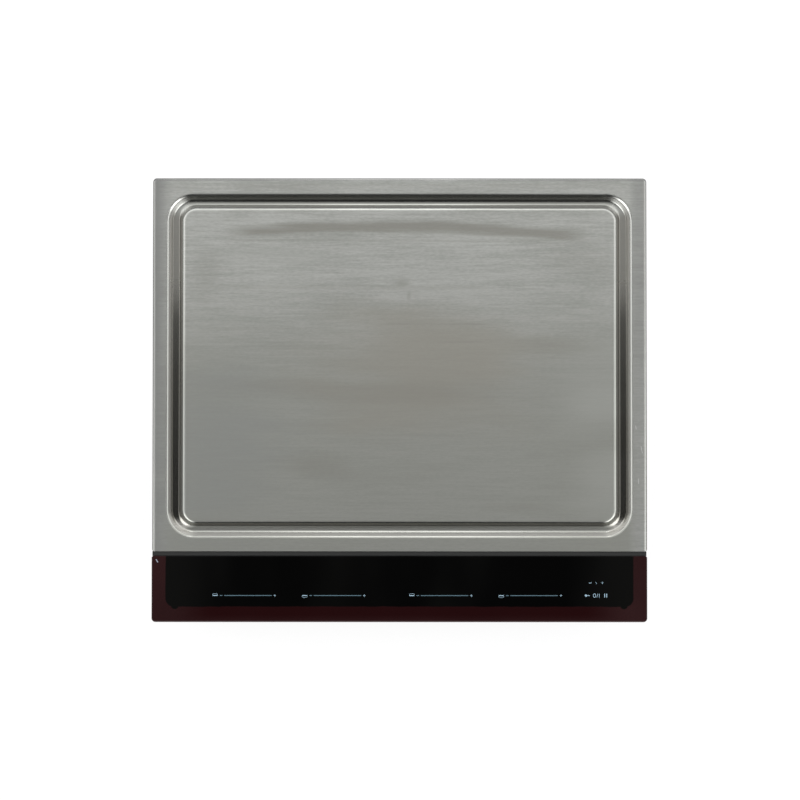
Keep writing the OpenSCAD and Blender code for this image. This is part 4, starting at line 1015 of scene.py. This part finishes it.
# %% Floor
bm = bmesh.new()
floor_half = 30.0
floor_z = cad_box[0][2] - 0.2 * mm
bmesh.ops.create_grid(bm, x_segments=1, y_segments=1, size=floor_half)
bmesh.ops.translate(bm, verts=bm.verts, vec=(0, 0, floor_z))
floor = finish_object(bm, "floor", smooth=False)
floor_finish, tree, shader = new_finish("floor_paper", (0.86, 0.86, 0.86), 0.9)
rays = add_node(tree, "ShaderNodeLightPath").outputs
seen = highest(tree, rays["Is Camera Ray"], rays["Is Glossy Ray"], rays["Is Transmission Ray"])
white = add_node(tree, "ShaderNodeEmission", {"Color": (1, 1, 1, 1), "Strength": 1.0}).outputs[0]
white_share = times(tree, seen, 0.87)
from_above = add_node(tree, "ShaderNodeMixShader", {0: white_share, 1: shader.outputs[0], 2: white})
clear = add_node(tree, "ShaderNodeBsdfTransparent").outputs[0]
below = add_node(tree, "ShaderNodeNewGeometry").outputs["Backfacing"]
both_sides = add_node(tree, "ShaderNodeMixShader", {0: below, 1: from_above.outputs[0], 2: clear})
tree.links.new(both_sides.outputs[0], tree.nodes["Material Output"].inputs["Surface"])
floor.data.materials.append(floor_finish)
print("floor at z = %.1f mm" % (floor_z / mm))

# %% Sky
scene = bpy.context.scene
sky = bpy.data.worlds.new("studio")
scene.world = sky
sky.use_nodes = True
tree = sky.node_tree
aim_x, aim_y, height = axes_of(tree, add_node(tree, "ShaderNodeTexCoord").outputs["Generated"])
forward = highest(tree, times(tree, aim_y, -1.0), 0.02)
turn = calc(tree, "DIVIDE", unsigned(tree, aim_x), forward)
walls = between(tree, height, 0.62, 0.90, 1.7, 0.03)
walls = times(tree, walls, between(tree, height, 0.25, 0.52, 0.13, 1.0))
walls = times(tree, walls, between(tree, turn, 0.15, 0.50, 0.05, 1.0))
front_boxes = times(tree, span(tree, turn, (0.40, 0.60), (2.2, 3.4)), 3.0)
front_boxes = times(tree, front_boxes, span(tree, height, (0.22, 0.42), (0.83, 0.93)))
rear_box = times(tree, between(tree, aim_y, 0.07, 0.22, 0.0, 1.15), between(tree, height, 0.05, 0.25))
dimmest = 0.03
level = highest(tree, dimmest, walls, front_boxes, rear_box)
seen = add_node(tree, "ShaderNodeLightPath").outputs["Is Camera Ray"]
level = times(tree, level, minus(tree, 1.0, seen))
background = tree.nodes["Background"]
tree.links.new(add(tree, level, seen), background.inputs["Strength"])
background.inputs["Color"].default_value = (1, 1, 1, 1)
print("sky:", len(tree.nodes), "nodes")

# %% [markdown]
# ## Lamps
# Three large soft lamps stand round the table: one behind it and one on each side. They light
# the matt surfaces and give the cooktop its soft shadow, and polished metal leaves them to the
# sky's walls and boxes. Their power is set so that a matt surface of a given colour renders at
# about that colour.

# %% Lamps
def soft_lamp(name, place, aim_at, width, height, watts):
    light = bpy.data.lights.new(name, "AREA")
    light.shape = "RECTANGLE"
    light.size = width
    light.size_y = height
    light.energy = watts
    lamp = bpy.data.objects.new(name, light)
    lamp.location = place
    lamp.rotation_euler = (Vector(aim_at) - Vector(place)).to_track_quat("-Z", "Y").to_euler()
    lamp.visible_camera = False
    lamp.visible_glossy = False
    scene.collection.objects.link(lamp)


soft_lamp("rear_lamp", (0.0, 1.35, 1.55), (0, 0, 0), 2.2, 0.7, 22)
soft_lamp("left_lamp", (-1.45, 0.15, 1.35), (0, 0, 0), 0.7, 1.5, 12)
soft_lamp("right_lamp", (1.45, 0.15, 1.35), (0, 0, 0), 0.7, 1.5, 12)
print("lamps: 3")

# %% [markdown]
# ## Camera
# The camera looks straight down from 1.8 m, leaning less than a degree so that the front edge is
# a little nearer. A long lens keeps the sides from spreading.

# %% Camera
camera_data = bpy.data.cameras.new("camera")
camera_data.sensor_width = 36.0
camera_data.lens = 69.05
camera = bpy.data.objects.new("camera", camera_data)
look_at = Vector((0.6 * mm, 0.1 * mm, top_z))
distance = 1.8
lean = math.radians(0.86)
roll = math.radians(0.027)
camera.matrix_world = (
    Matrix.Translation(look_at + distance * Vector((0, -math.sin(lean), math.cos(lean))))
    @ Matrix.Rotation(lean, 4, "X")
    @ Matrix.Rotation(roll, 4, "Z")
)
scene.collection.objects.link(camera)
scene.camera = camera
scene.view_settings.view_transform = "Standard"
print("camera at", [round(c, 3) for c in camera.matrix_world.translation])
